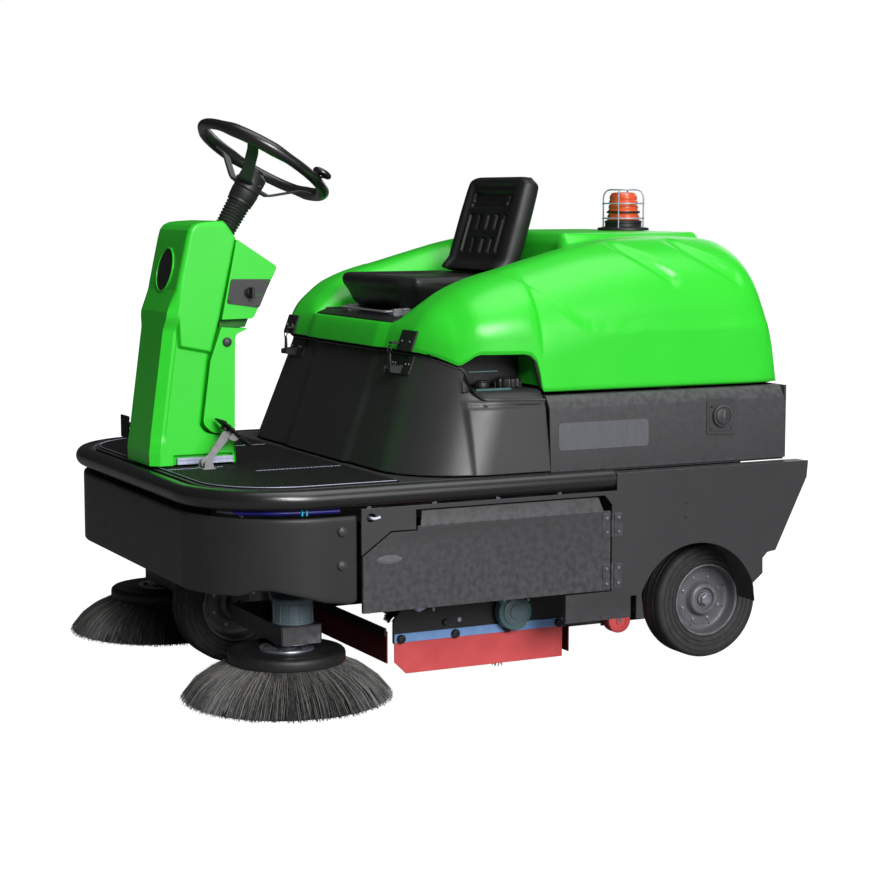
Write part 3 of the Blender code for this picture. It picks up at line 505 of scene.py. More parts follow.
def add_grid(bm, rows, wrap=False):
    verts = [[bm.verts.new(p) for p in row] for row in rows]
    for a, b in zip(verts, verts[1:]):
        span = len(a) if wrap else len(a) - 1
        for i in range(span):
            j = (i + 1) % len(a)
            bm.faces.new((a[i], a[j], b[j], b[i]))
    return verts


def skin(name, rows, material, body="chassis", nodes=(), wall=0.0, wrap=False, sharp=35.0, bevel=0.0):
    """A surface through rows of points, thickened inwards when it has a wall."""
    bm = bmesh.new()
    add_grid(bm, rows, wrap)
    obj = put(name, bm, material, body, nodes, sharp=sharp)
    if wall:
        shell = obj.modifiers.new("wall", "SOLIDIFY")
        shell.thickness = abs(wall)
        shell.offset = -1.0 if wall > 0 else 1.0
    if bevel:
        edge = obj.modifiers.new("rounded_edges", "BEVEL")
        edge.width = bevel
        edge.segments = 2
        edge.limit_method = "ANGLE"
        edge.angle_limit = radians(50)
    return obj


def arc(centre, radius, start, end, steps):
    points = []
    for i in range(steps + 1):
        angle = radians(start + (end - start) * i / steps)
        points.append((centre[0] + radius * cos(angle), centre[1] + radius * sin(angle)))
    return points


def ellipse(centre, wide, high, steps):
    turns = [tau * k / steps for k in range(steps)]
    return [(centre[0] + wide * cos(a), centre[1] + high * sin(a)) for a in turns]


def rounded(outline, radius, steps=4):
    """Round every corner of a flat outline, by up to the radius."""
    result = []
    count = len(outline)
    for i in range(count):
        before, here, after = (Vector(outline[(i + k) % count]) for k in (-1, 0, 1))
        size = radius[i] if isinstance(radius, (list, tuple)) else radius
        reach = min(size, (before - here).length * 0.48, (after - here).length * 0.48)
        start = here + (before - here).normalized() * reach
        end = here + (after - here).normalized() * reach
        for k in range(steps + 1):
            t = k / steps
            result.append(tuple(start * (1 - t) ** 2 + here * 2 * t * (1 - t) + end * t * t))
    return result


def nose(half, front, radius, rear, steps):
    """Plan of the front, from the rear on the left round to the rear on the right."""
    left = arc((half - radius, front + radius), radius, 0, -90, steps)
    right = [(-x, y) for x, y in reversed(left)]
    return [(half, rear)] + left + right + [(-half, rear)]


def read(table, value):
    """A piecewise straight curve of (value, height) pairs."""
    if value <= table[0][0]:
        return table[0][1]
    for (a, low), (b, high) in zip(table, table[1:]):
        if value <= b:
            return low + (high - low) * (value - a) / (b - a)
    return table[-1][1]


def smoothstep(low, high, value):
    t = min(max((value - low) / (high - low), 0.0), 1.0)
    return t * t * (3 - 2 * t)


def add_bolt(bm, place, axis, radius, kind="dome"):
    shapes = {
        "dome": [(radius, 0.0), (radius, radius * 0.25), (radius * 0.85, radius * 0.55),
                 (radius * 0.5, radius * 0.78), (0.0, radius * 0.85)],
        "cap": [(radius, 0.0), (radius, radius * 0.9), (radius * 0.9, radius), (radius * 0.55, radius),
                (radius * 0.5, radius * 0.6), (0.0, radius * 0.6)],
        "disc": [(radius, 0.0), (radius * 0.94, radius * 0.2), (0.0, radius * 0.24)],
    }
    if kind == "hex":
        add_lathe(bm, [(radius, 0.0), (radius, radius * 0.6), (radius * 0.85, radius * 0.72),
                       (0.0, radius * 0.72)], place, axis, 6)
        return
    steps = 20 if radius > 0.004 else 12
    add_lathe(bm, shapes[kind], place, axis, steps)


def bolts(name, places, axis, radius, material, body="chassis", kind="dome"):
    bm = bmesh.new()
    for place in places:
        add_bolt(bm, place, axis, radius, kind)
    return put(name, bm, material, body, sharp=30.0)


M = make_materials()
make_stage()

# ---------------------------------------------------------------- hood

# The hood's crest, from the front lip over the top and down the rear: y, height, half width.
CREST = [
    (-0.223, 0.862, 0.4), (-0.214, 0.892, 0.42), (-0.201, 0.922, 0.448), (-0.175, 0.957, 0.492),
    (-0.14, 0.987, 0.532), (-0.093, 1.018, 0.56), (-0.026, 1.045, 0.576), (0.06, 1.068, 0.584),
    (0.16, 1.095, 0.585), (0.275, 1.124, 0.585), (0.38, 1.141, 0.585), (0.48, 1.147, 0.585),
    (0.6, 1.148, 0.585), (0.69, 1.142, 0.585), (0.74, 1.125, 0.583), (0.775, 1.096, 0.578),
    (0.796, 1.055, 0.572), (0.811, 0.99, 0.566), (0.82, 0.91, 0.56), (0.828, 0.8, 0.556),
    (0.83, 0.756, 0.555),
]
HOOD_EDGE = [
    (-0.223, 0.86), (-0.206, 0.859), (-0.175, 0.848), (-0.14, 0.829), (-0.131, 0.831),
    (-0.101, 0.853), (-0.088, 0.857), (0.028, 0.856), (0.046, 0.852), (0.062, 0.836),
    (0.071, 0.806), (0.0775, 0.769), (0.084, 0.757), (0.833, 0.7545),
]
CUTOUT_DEEP, CUTOUT_ROOF = 0.456, 0.8585  # inner X and upper Z of the space over the caps
PLATEAU = 1.16
RECESS_LOW = 0.9248
SEAM = [(0.012, 1.077), (0.06, 1.046), (0.121, 1.003), (0.16, 0.966), (0.183, 0.945),
        (0.21, 0.928), (0.245, 0.92), (0.3, 0.919), (0.9, 0.919)]
FLUTES = [((0.349, 1.15), (0.496, 1.046)), ((0.533, 1.15), (0.703, 1.043))]


def catmull(table, spacing):
    """Points along a smooth curve through the rows of a table, a fixed spacing apart."""
    rows = []
    count = len(table)
    for i in range(count - 1):
        quad = [table[min(max(i + k, 0), count - 1)] for k in (-1, 0, 1, 2)]
        reach = dist(quad[1][:2], quad[2][:2])
        steps = max(1, round(reach / spacing(quad[1][0])))
        for k in range(steps):
            t = k / steps
            rows.append(tuple(
                0.5 * (2 * b + (c - a) * t + (2 * a - 5 * b + 4 * c - d) * t * t
                       + (3 * b - a - 3 * c + d) * t ** 3)
                for a, b, c, d in zip(*quad)))
    rows.append(table[-1])
    return rows


def distance_to(points, y, z):
    """Distance from a point to a polyline, and which side of it the point is on."""
    best, side = 9.0, 1.0
    for (ay, az), (by, bz) in zip(points, points[1:]):
        dy, dz = by - ay, bz - az
        t = min(max(((y - ay) * dy + (z - az) * dz) / (dy * dy + dz * dz), 0.0), 1.0)
        gap = hypot(y - ay - dy * t, z - az - dz * t)
        if gap < best - 1e-9:
            best = gap
            side = 1.0 if dy * (z - az) - dz * (y - ay) > 0 else -1.0
    return best, side


def hood_relief(y, z):
    """How far the skin is pressed in: the panel above the seam and the two flutes."""
    gap, side = distance_to(SEAM, y, z)
    step = 0.0045 * smoothstep(-0.005, 0.005, gap * side)
    line = 0.0022 * (1 - smoothstep(0.0, 0.006, gap)) * (1 - smoothstep(0.2, 0.26, y))
    depth = step * smoothstep(0.0, 0.03, y) * (1 - smoothstep(0.79, 0.82, y)) + line
    for (ay, az), (by, bz) in FLUTES:
        dy, dz = by - ay, bz - az
        t = ((y - ay) * dy + (z - az) * dz) / (dy * dy + dz * dz)
        held = min(max(t, 0.0), 1.0)
        across = hypot(y - ay - dy * held, z - az - dz * held)
        width = 0.014 + 0.008 * held
        depth += 0.01 * (1 - smoothstep(width * 0.35, width, across)) * smoothstep(-0.1, 0.35, held)
    return depth


def hood_half(y, crest, half):
    """Half of the hood's section, from the middle out to the lower edge."""
    edge = read(HOOD_EDGE, y)
    front = 1 - smoothstep(-0.2, -0.17, y)
    recess = smoothstep(-0.212, -0.186, y) * (1 - smoothstep(0.262, 0.288, y))
    rear = smoothstep(0.262, 0.3, y) * (1 - smoothstep(0.715, 0.752, y))
    middle = crest + (PLATEAU - crest) * rear
    if crest > RECESS_LOW:
        middle += (RECESS_LOW - crest) * recess
    inside = 0.262 + 0.04 * rear
    points = [(inside * i / 8, middle) for i in range(9)]
    for i in range(1, 15):
        t = i / 14
        bend = radians(90 * t)
        if rear > 0.5:
            x = inside + 0.045 * t
            z = middle + (crest - middle) * smoothstep(0.0, 1.0, t)
        else:
            x = inside + (0.36 - inside) * (1 - cos(bend))
            z = middle + (crest - middle) * sin(bend)
        points.append((x, z))
    last = points[-1][0]
    start = 0.395
    points += [(last + (start - last) * 0.5, crest), (start, crest)]
    fall = min(0.24, 0.78 * (crest - edge))
    for i in range(1, 29):
        bend = radians(90 * i / 28)
        points.append((start + (half - start) * sin(bend),
                       crest - fall * (1 - cos(bend))))
    low = crest - fall
    for i in range(1, 25):
        t = i / 24
        z = low + (edge - low) * t
        tuck = 0.004 * smoothstep(0.0, 0.01, 0.01 - (z - edge))
        points.append((half - tuck, z))
    proud = 0.011 * front
    result = []
    for x, z in points:
        depth = hood_relief(y, z) * smoothstep(0.4, 0.46, x)
        reach = hypot(x - 0.4, (z - crest + fall) * 0.6) or 1.0
        shift = proud * (1 - smoothstep(0.24, 0.258, x))
        if x > 0.4:
            x -= depth * (x - 0.4) / reach
            z -= depth * max(z - crest + fall, 0.0) * 0.6 / reach
        result.append(Vector((x, y - shift, z)))
    return result


def make_hood():
    rows = []
    for y, crest, half in catmull(CREST, lambda y: 0.0035 if y < 0.09 else 0.0075):
        points = hood_half(y, crest, half)
        mirrored = [Vector((-p.x, p.y, p.z)) for p in reversed(points[1:])]
        rows.append(mirrored + points)
    shell = skin("hood_skin", rows, "green", "hood", ("hood_shell",), wall=0.006, sharp=60)
    shell.modifiers["wall"].use_even_offset = False
    # A dark seal along the lower edge, from the front corner to the rear.
    for word, side in SIDES:
        seal = []
        for y, crest, half in catmull(CREST, lambda y: 0.02):
            if y < -0.2 or y > 0.81:
                continue
            seal.append((side * (half - 0.012), y, read(HOOD_EDGE, y) + 0.003))
        tube("hood_seal_" + word, seal, 0.005, "dark", "hood", sides=8)
        # The lining of the cut-out over the caps, in a darker green that is painted shade; a dark sheet at
        # its back paints the shade there too.
        lining = []
        for i in range(30):
            y = -0.13 + 0.2085 * i / 29
            out = read([(row[0], row[2]) for row in CREST], y) - 0.006
            lip = max(read(HOOD_EDGE, y) + 0.0035, 0.79)
            roof = max(lip, CUTOUT_ROOF)
            lining.append([Vector((side * x, y, z)) for x, z in (
                (out, lip), (out - 0.01, (lip + roof) / 2), (out - 0.022, roof), (CUTOUT_DEEP, roof))])
        skin("cutout_lining_" + word, lining, "green_painted_shade", "hood", wall=0.002)
        # A dark sheet at the back of the cut-out: painted shade.
        inner = [(-0.13, CUTOUT_ROOF), (0.0785, CUTOUT_ROOF), (0.0785, 0.772), (-0.1, 0.772), (-0.13, 0.79)]
        slab("cutout_shade_sheet_" + word, inner, side * 0.4545, side * 0.4565, "X", "dark", "hood", bevel=0.0004)
        rear = rounded([(side * CUTOUT_DEEP, 0.772), (side * 0.577, 0.772), (side * 0.577, CUTOUT_ROOF),
                        (side * CUTOUT_DEEP, CUTOUT_ROOF)], 0.006)
        slab("cutout_rear_" + word, rear, 0.0765, 0.079, "Y", "green", "hood", bevel=0.0008)
    # The hinge leaves at the rear.
    for number, x in enumerate((-0.4, -0.12, 0.12, 0.4)):
        bm = bmesh.new()
        add_box(bm, (x - 0.03, 0.8325, 0.756), (x + 0.03, 0.8355, 0.8))
        add_lathe(bm, [(0.0, -0.03), (0.005, -0.03), (0.005, 0.03), (0.0, 0.03)],
                  (x, 0.8405, 0.756), X_AXIS, 16)
        for dx in (-0.018, 0.018):
            add_bolt(bm, (x + dx, 0.8355, 0.782), Y_AXIS, 0.005)
        put("hood_hinge_%d" % number, bm, "dark", "hood", bevel=0.0008)


# ---------------------------------------------------------------- cowl and covers

COWL_EDGE = [
    (-0.3, 0.855), (-0.225, 0.855), (-0.19, 0.85), (-0.146, 0.826), (-0.138, 0.812),
    (-0.128, 0.782), (-0.118, 0.765), (-0.096, 0.748), (-0.08, 0.744), (0.082, 0.7385),
]
COWL_FOOT, COWL_TOP, COWL_REAR = 0.5561, 0.85, 0.0815
COWL_CORNER = 0.22
COWL_DECK = 0.5505  # height of the deck that the cowl's plan is measured at
SIDE_LEAN, FRONT_LEAN = 0.1716, 0.345
CAP_SHELF = 0.7642


def cowl_half(z):
    """Half of the cowl's width at a height: its sides lean in."""
    return 0.62 - SIDE_LEAN * (z - COWL_DECK)


def cowl_front(z):
    """Y of the cowl's front at a height: it leans back."""
    return -0.31 + FRONT_LEAN * (z - COWL_DECK)


def cowl_level(z):
    """Plan of the cowl at a height, from the left rear round the front to the right rear."""
    half, front = cowl_half(z), cowl_front(z)
    side = [(half, COWL_REAR + (front + COWL_CORNER + 0.004 - COWL_REAR) * i / 60) for i in range(61)]
    corner = arc((half - COWL_CORNER, front + COWL_CORNER), COWL_CORNER, 0, -90, 90)
    flat = [((half - COWL_CORNER) * (1 - i / 26), front) for i in range(1, 27)]
    left = side + corner + flat
    return left + [(-x, y) for x, y in reversed(left[:-1])]


def cowl_point(base, top, t):
    """A point of the cowl's wall, t of the way up one of its ribs."""
    x, y = base[0] + (top[0] - base[0]) * t, base[1] + (top[1] - base[1]) * t
    z = COWL_FOOT + (top[2] - COWL_FOOT) * t
    ahead = smoothstep(0.214, 0.196, abs(x)) if abs(x) > 0.196 else 1.0
    if y < -0.15 and abs(x) < 0.22:
        y -= 0.008 * ahead
    if abs(x) > 0.5:
        # The flat side panel stands a little proud of the corner, with a rounded step.
        behind = smoothstep(-0.146, -0.128, y)
        side = behind * smoothstep(0.731, 0.719, z)
        x += copysign(0.005 * side - 0.003 * (1 - side) * behind
                           * (1 - smoothstep(0.737, 0.741, z)), x)
    return Vector((x, y, z))


def make_cowl():
    ribs = list(zip(cowl_level(COWL_FOOT), cowl_level(COWL_TOP)))
    rows = []
    tops = []
    for (x, y), high in ribs:
        # The wall leans in, so the edge's height is read where the rib ends.
        edge = read(COWL_EDGE, y)
        for _ in range(4):
            t = (edge - COWL_FOOT) / (COWL_TOP - COWL_FOOT)
            edge = read(COWL_EDGE, y + (high[1] - y) * t)
        t = (edge - COWL_FOOT) / (COWL_TOP - COWL_FOOT)
        tops.append((x + (high[0] - x) * t, y + (high[1] - y) * t, edge))
    heights = [0.0, 0.01, 0.03] + [0.03 + 0.94 * k / 40 for k in range(1, 41)] + [1.0]
    for t in heights:
        rows.append([cowl_point(base[0], top, t) for base, top in zip(ribs, tops)])
    skin("cowl_shell", rows, "cowl", "chassis", ("body_cowl",), wall=0.005, sharp=50)
    bead = [cowl_point(base[0], top, 1.0) + Vector((0, 0, -0.001)) for base, top in zip(ribs, tops)]
    tube("cowl_bead", bead, 0.0042, "cowl", sides=10)
    # A dark band inside the joint, so that the hood and the cowl meet without a gap.
    band = []
    for rise in (-0.02, 0.0, 0.016):
        band.append([Vector((x - copysign(0.012, x) * min(abs(x) / 0.4, 1.0),
                             y + 0.01, z + rise)) for x, y, z in tops if y < -0.135])
    skin("cowl_joint_band", band, "dark")
    # The shelf that the filler caps stand on, rounded over to the rim.
    shelf = []
    for i in range(28):
        y = 0.0812 - 0.2212 * i / 27
        rim = read(COWL_EDGE, y) + 0.001
        out = cowl_half(rim) - 0.003
        edge = CAP_SHELF - 0.0008 if rim < CAP_SHELF else CAP_SHELF
        shelf.append([Vector((x, y, z)) for x, z in (
            (0.335, CAP_SHELF), (0.47, CAP_SHELF), (0.545, CAP_SHELF), (0.56, edge),
            (out - 0.014, (rim + CAP_SHELF) / 2 + 0.004), (out - 0.004, rim + 0.001), (out, rim - 0.004))])
    for word, side in SIDES:
        rows = [[Vector((side * p.x, p.y, p.z)) for p in row] for row in shelf]
        skin("cap_shelf_" + word, rows, "cowl")


def lean_out(bm, side):
    """Set a plate, modelled from x = 0, on the leaning face of a side cover."""
    slope = tan(atan2(0.0075, 0.152))
    for vert in bm.verts:
        vert.co.x = side * (0.619 - (vert.co.z - 0.562) * slope + vert.co.x)


def make_side_covers():
    section = [(0.6195, 0.5512), (0.6195, 0.562), (0.612, 0.714), (0.611, 0.7185), (0.5905, 0.7462),
               (0.5875, 0.7475), (0.56, 0.7475), (0.56, 0.742), (0.585, 0.741), (0.6045, 0.714),
               (0.6125, 0.5512)]
    for word, side in SIDES:
        bm = bmesh.new()
        add_slab(bm, [(side * x, z) for x, z in section], 0.0845, 0.82, "Y")
        put("side_cover_skin_" + word, bm, "grey", "chassis", ("side_cover_" + word,), bevel=0.0012)
        # Blank label, set on the leaning face.
        label = rounded([(0.11, 0.606), (0.382, 0.606), (0.382, 0.677), (0.11, 0.677)], 0.012)
        bm = bmesh.new()
        add_slab(bm, label, 0.0, 0.0012, "X")
        lean_out(bm, side)
        put("blank_label_" + word, bm, "label", bevel=0.0004)
        plate = rounded([(0.563, 0.626), (0.655, 0.622), (0.655, 0.72), (0.566, 0.722)], 0.006)
        bm = bmesh.new()
        add_slab(bm, plate, 0.0, 0.004, "X")
        inner = rounded([(0.571, 0.634), (0.647, 0.631), (0.647, 0.706), (0.571, 0.708)], 0.01)
        add_slab(bm, inner, 0.004, 0.0058, "X")
        lean_out(bm, side)
        put("latch_plate_" + word, bm, "grey", bevel=0.0008)
        bm = bmesh.new()
        for y, z in ((0.578, 0.642), (0.64, 0.64), (0.578, 0.7)):
            add_bolt(bm, (side * 0.6195, y, z), (side, 0, 0), 0.0032)
        put("latch_screws_" + word, bm, "dark")
        knob = [(0.03, 0.0), (0.03, 0.005), (0.0285, 0.007), (0.0255, 0.0072), (0.0245, 0.0052),
                (0.0225, 0.0052), (0.0215, 0.0085), (0.019, 0.0095), (0.0, 0.0098)]
        bm = bmesh.new()
        add_lathe(bm, knob, (side * 0.6215, 0.61, 0.674), (side, 0, 0), 56)
        add_box(bm, (side * 0.631 - 0.0012, 0.607, 0.657), (side * 0.631 + 0.0012, 0.613, 0.691))
        put("cover_latch_knob_" + word, bm, "grey", "cover_latch_" + word, ("cover_latch_" + word,))
    # Rear wall with a pressed frame, vents and a lower rail.
    bm = bmesh.new()
    add_box(bm, (-0.611, 0.8208, 0.5512), (0.611, 0.8268, 0.748))
    for low, high in (((-0.6, 0.8268, 0.728), (0.6, 0.8298, 0.742)),
                      ((-0.6, 0.8268, 0.557), (0.6, 0.8298, 0.571)),
                      ((-0.6, 0.8268, 0.571), (-0.586, 0.8298, 0.728)),
                      ((0.586, 0.8268, 0.571), (0.6, 0.8298, 0.728))):
        add_box(bm, low, high)
    for i in range(9):
        z = 0.61 + 0.011 * i
        add_box(bm, (-0.21, 0.8268, z), (0.21, 0.829, z + 0.0055),
                Matrix.Rotation(radians(12), 4, "X"))
    put("rear_panel", bm, "panel", "chassis", ("rear_wall",), bevel=0.0012)
    bolts("rear_panel_bolts", [(x, 0.8268, z) for x in (-0.56, -0.26, 0.26, 0.56) for z in (0.59, 0.71)],
          Y_AXIS, 0.006, "zinc", "chassis", "cap")


# ---------------------------------------------------------------- caps and hood latches


def make_caps():
    def lobes(radius, angle):
        if radius < 0.03:
            return radius
        wave = cos(angle * 10)
        return radius - 0.0035 * smoothstep(0.2, 0.8, -wave)
    large = [(0.028, 0.0), (0.028, 0.0035), (0.03, 0.004), (0.0358, 0.005), (0.0358, 0.02),
             (0.0345, 0.0245), (0.0305, 0.0268), (0.0285, 0.0272), (0.0262, 0.0262), (0.0245, 0.0235),
             (0.0, 0.0228)]
    lathe("filler_cap_knob", large, (0.5, 0.02, 0.7646), Z_AXIS, "dark", "filler_cap", ("filler_cap",),
          steps=120, wobble=lobes)
    small = [(0.018, 0.0), (0.018, 0.004), (0.0208, 0.005), (0.0208, 0.015), (0.0196, 0.0172),
             (0.015, 0.018), (0.0145, 0.0205), (0.012, 0.0225), (0.0, 0.0228)]
    bm = bmesh.new()
    add_lathe(bm, small, (0.5, -0.055, 0.7646), Z_AXIS, 40)
    add_box(bm, (0.484, -0.0575, 0.78), (0.52, -0.0525, 0.7868))
    put("vent_cap_knob", bm, "dark", "vent_cap", ("vent_cap",), bevel=0.0006)
    for name, y, radius in (("filler_neck", 0.02, 0.042), ("vent_neck", -0.055, 0.026)):
        neck = [(radius - 0.008, 0.0), (radius - 0.007, 0.0016), (radius - 0.001, 0.0016), (radius, 0.0)]
        lathe(name, neck, (0.5, y, 0.7643), Z_AXIS, "dark")
    box("shelf_hinge_strip", (0.566, -0.128, 0.814), (0.5675, -0.045, 0.8165), "teal", bevel=0.0004)


def make_hood_latches():
    """Two black leaves lying on the hood and on the cowl, joined by a sprung lever with a ring."""
    def leaf(low, high, left, right, surface, thick):
        """A thin plate that follows the surface behind it."""
        front = [[Vector((x, surface(x, z) - thick, z)) for x in spread(left, right, 12)]
                 for z in spread(low, high, 8)]
        back = [[Vector((p.x, p.y + thick + 0.001, p.z)) for p in row] for row in front]
        bm = bmesh.new()
        for rows in (front, back):
            add_grid(bm, rows)
        for one, other in ((front[0], back[0]), (front[-1], back[-1])):
            add_grid(bm, [one, other])
        for end in (0, -1):
            add_grid(bm, [[row[end] for row in front], [row[end] for row in back]])
        bmesh.ops.remove_doubles(bm, verts=bm.verts, dist=1e-6)
        bmesh.ops.recalc_face_normals(bm, faces=bm.faces)
        return bm

    def spread(low, high, count):
        return [low + (high - low) * i / count for i in range(count + 1)]

    def on_hood(x, z):
        return -0.2245 + 0.37 * max(z - 0.866, 0.0) + 1.6 * max(abs(x) - 0.385, 0.0) ** 2

    def on_cowl(x, z):
        turn = max(abs(x) - (cowl_half(z) - COWL_CORNER), 0.0)
        return cowl_front(z) + COWL_CORNER - sqrt(COWL_CORNER ** 2 - turn ** 2)

    for word, side in SIDES:
        x = side * 0.354
        lever = "hood_latch_" + word
        put("latch_leaf_" + word, leaf(0.861, 0.914, side * 0.352, side * 0.432, on_hood, 0.0045), "dark",
            "hood", bevel=0.0006)
        put("latch_strike_" + word, leaf(0.8, 0.848, side * 0.29, side * 0.408, on_cowl, 0.005), "dark",
            bevel=0.0006)
        # The hook that the ring holds, and the two ears that the lever turns in.
        box("latch_backing_" + word, (x - 0.008, -0.248, 0.878), (x + 0.008, -0.224, 0.884), "dark",
            "hood", bevel=0.001)
        bm = bmesh.new()
        for dx in (-0.019, 0.019):
            add_slab(bm, rounded([(-0.258, 0.805), (-0.219, 0.8), (-0.219, 0.824), (-0.258, 0.819)],
                                 0.003, 3), x + dx - 0.0012, x + dx + 0.0012, "X")
        put("latch_ears_" + word, bm, "dark", bevel=0.0004)
        bm = bmesh.new()
        add_slab(bm, rounded([(x - 0.01, 0.808), (x + 0.01, 0.808), (x + 0.006, 0.855), (x - 0.006, 0.855)],
                             0.004, 3), -0.252, -0.2485, "Y")
        ring = [(x + 0.01 * cos(a), -0.25 + 0.003 * sin(a), 0.864 + 0.01 * sin(a))
                for a in (tau * k / 28 for k in range(28))]
        add_tube(bm, ring, 0.0016, 10, closed=True, up=Y_AXIS)
        add_tube(bm, [(x - 0.0205, -0.252, 0.812), (x + 0.0205, -0.252, 0.812)], 0.003, 12)
        put(lever + "_lever", bm, "latch_steel", lever, (lever,), bevel=0.0004)
        screws = [(side * a, z) for a, z in ((0.372, 0.886), (0.414, 0.886))]
        bolts("latch_screws_upper_" + word, [(u, on_hood(u, z) - 0.0045, z) for u, z in screws], -Y_AXIS,
              0.003, "dull_steel", "hood")
        screws = [(side * a, z) for a, z in ((0.312, 0.826), (0.328, 0.826), (0.384, 0.826), (0.398, 0.826))]
        bolts("latch_rivets_" + word, [(u, on_cowl(u, z) - 0.005, z) for u, z in screws], -Y_AXIS,
              0.003, "dull_steel")


make_hood()
make_cowl()
make_side_covers()
make_caps()
make_hood_latches()

# ---------------------------------------------------------------- steering column

COLUMN_LEAD = [  # front of the column against height
    (0.5586, -0.819), (0.593, -0.82), (0.7, -0.8055), (0.82, -0.789), (0.959, -0.77),
    (1.016, -0.748), (1.1, -0.7295), (1.15, -0.7185), (1.172, -0.712), (1.184, -0.702),
    (1.191, -0.688), (1.1945, -0.66), (1.196, -0.618),
]
COLUMN_BACK = [  # rear edge, where the console joins
    (0.5586, -0.586), (0.627, -0.5885), (0.63, -0.6), (0.637, -0.658), (0.65, -0.676),
    (0.664, -0.684), (0.83, -0.662), (0.937, -0.632), (1.152, -0.583), (1.178, -0.601),
    (1.196, -0.614),
]
FACE_HALF = 0.122
SUNK = 0.014  # how far the lower side panel lies behind the upper bulge


def bulge(y, z):
    """One on the column's proud upper side, zero on the sunk panel below it."""
    lower = 0.869 + (y + 0.741) * -0.2
    above = smoothstep(lower - 0.004, lower + 0.005, z)
    left = -0.741 - 0.05 * (z - 0.869)
    if z > 0.975:
        left = -0.746 - (z - 0.975) * 1.05
    right = smoothstep(left - 0.004, left + 0.004, y)
    return above * right


def column_section(z, sides=90):
    """Plan of the column's left half at a height, from the rear centre to the front centre."""
    front, back = read(COLUMN_LEAD, z), read(COLUMN_BACK, z)
    top = smoothstep(1.196, 1.178, z)
    half = FACE_HALF - 0.012 * (1 - sqrt(max(0.0, 1 - (1 - top) ** 2)))
    depth = back - front
    points = [Vector((half * 0.9 * i / 5, back, z)) for i in range(6)]
    corner = min(0.008, depth * 0.2)
    for i in range(1, 6):
        bend = radians(90 * i / 5)
        points.append(Vector((half - corner + corner * sin(bend) - SUNK * (1 - bulge(back, z)),
                              back - corner + corner * cos(bend), z)))
    proud = smoothstep(0.96, 1.03, z)
    cut = 0.03 - 0.016 * proud
    cut = min(cut, depth * 0.3)
    for i in range(1, sides + 1):
        y = back - corner - (depth - corner - cut) * i / sides
        lift = bulge(y, z)
        x = half - SUNK * (1 - lift)
        groove = (1 - smoothstep(0.0, 0.007, y - front - cut)) * (1 - lift) * smoothstep(0.615, 0.64, z)
        x -= 0.003 * groove
        foot = smoothstep(-0.76, -0.752, y) * (1 - smoothstep(-0.592, -0.586, y))
        x -= 0.016 * foot * smoothstep(0.586, 0.58, z)
        points.append(Vector((x, y, z)))
    edge = points[-1]
    width = 0.021 * (1 - proud) + 0.014 * proud
    for i in range(1, 9):
        t = i / 8
        bend = radians(90 * t)
        flat_x = edge.x + 0.0035 * (1 - proud) - width * t * 1.0
        round_x = edge.x - width * (1 - cos(bend))
        flat_y = edge.y - cut * t
        round_y = edge.y - cut * sin(bend)
        points.append(Vector((flat_x + (round_x - flat_x) * proud, flat_y + (round_y - flat_y) * proud, z)))
    last = points[-1].x
    for i in range(1, 11):
        points.append(Vector((last * (1 - i / 10), front, z)))
    return points


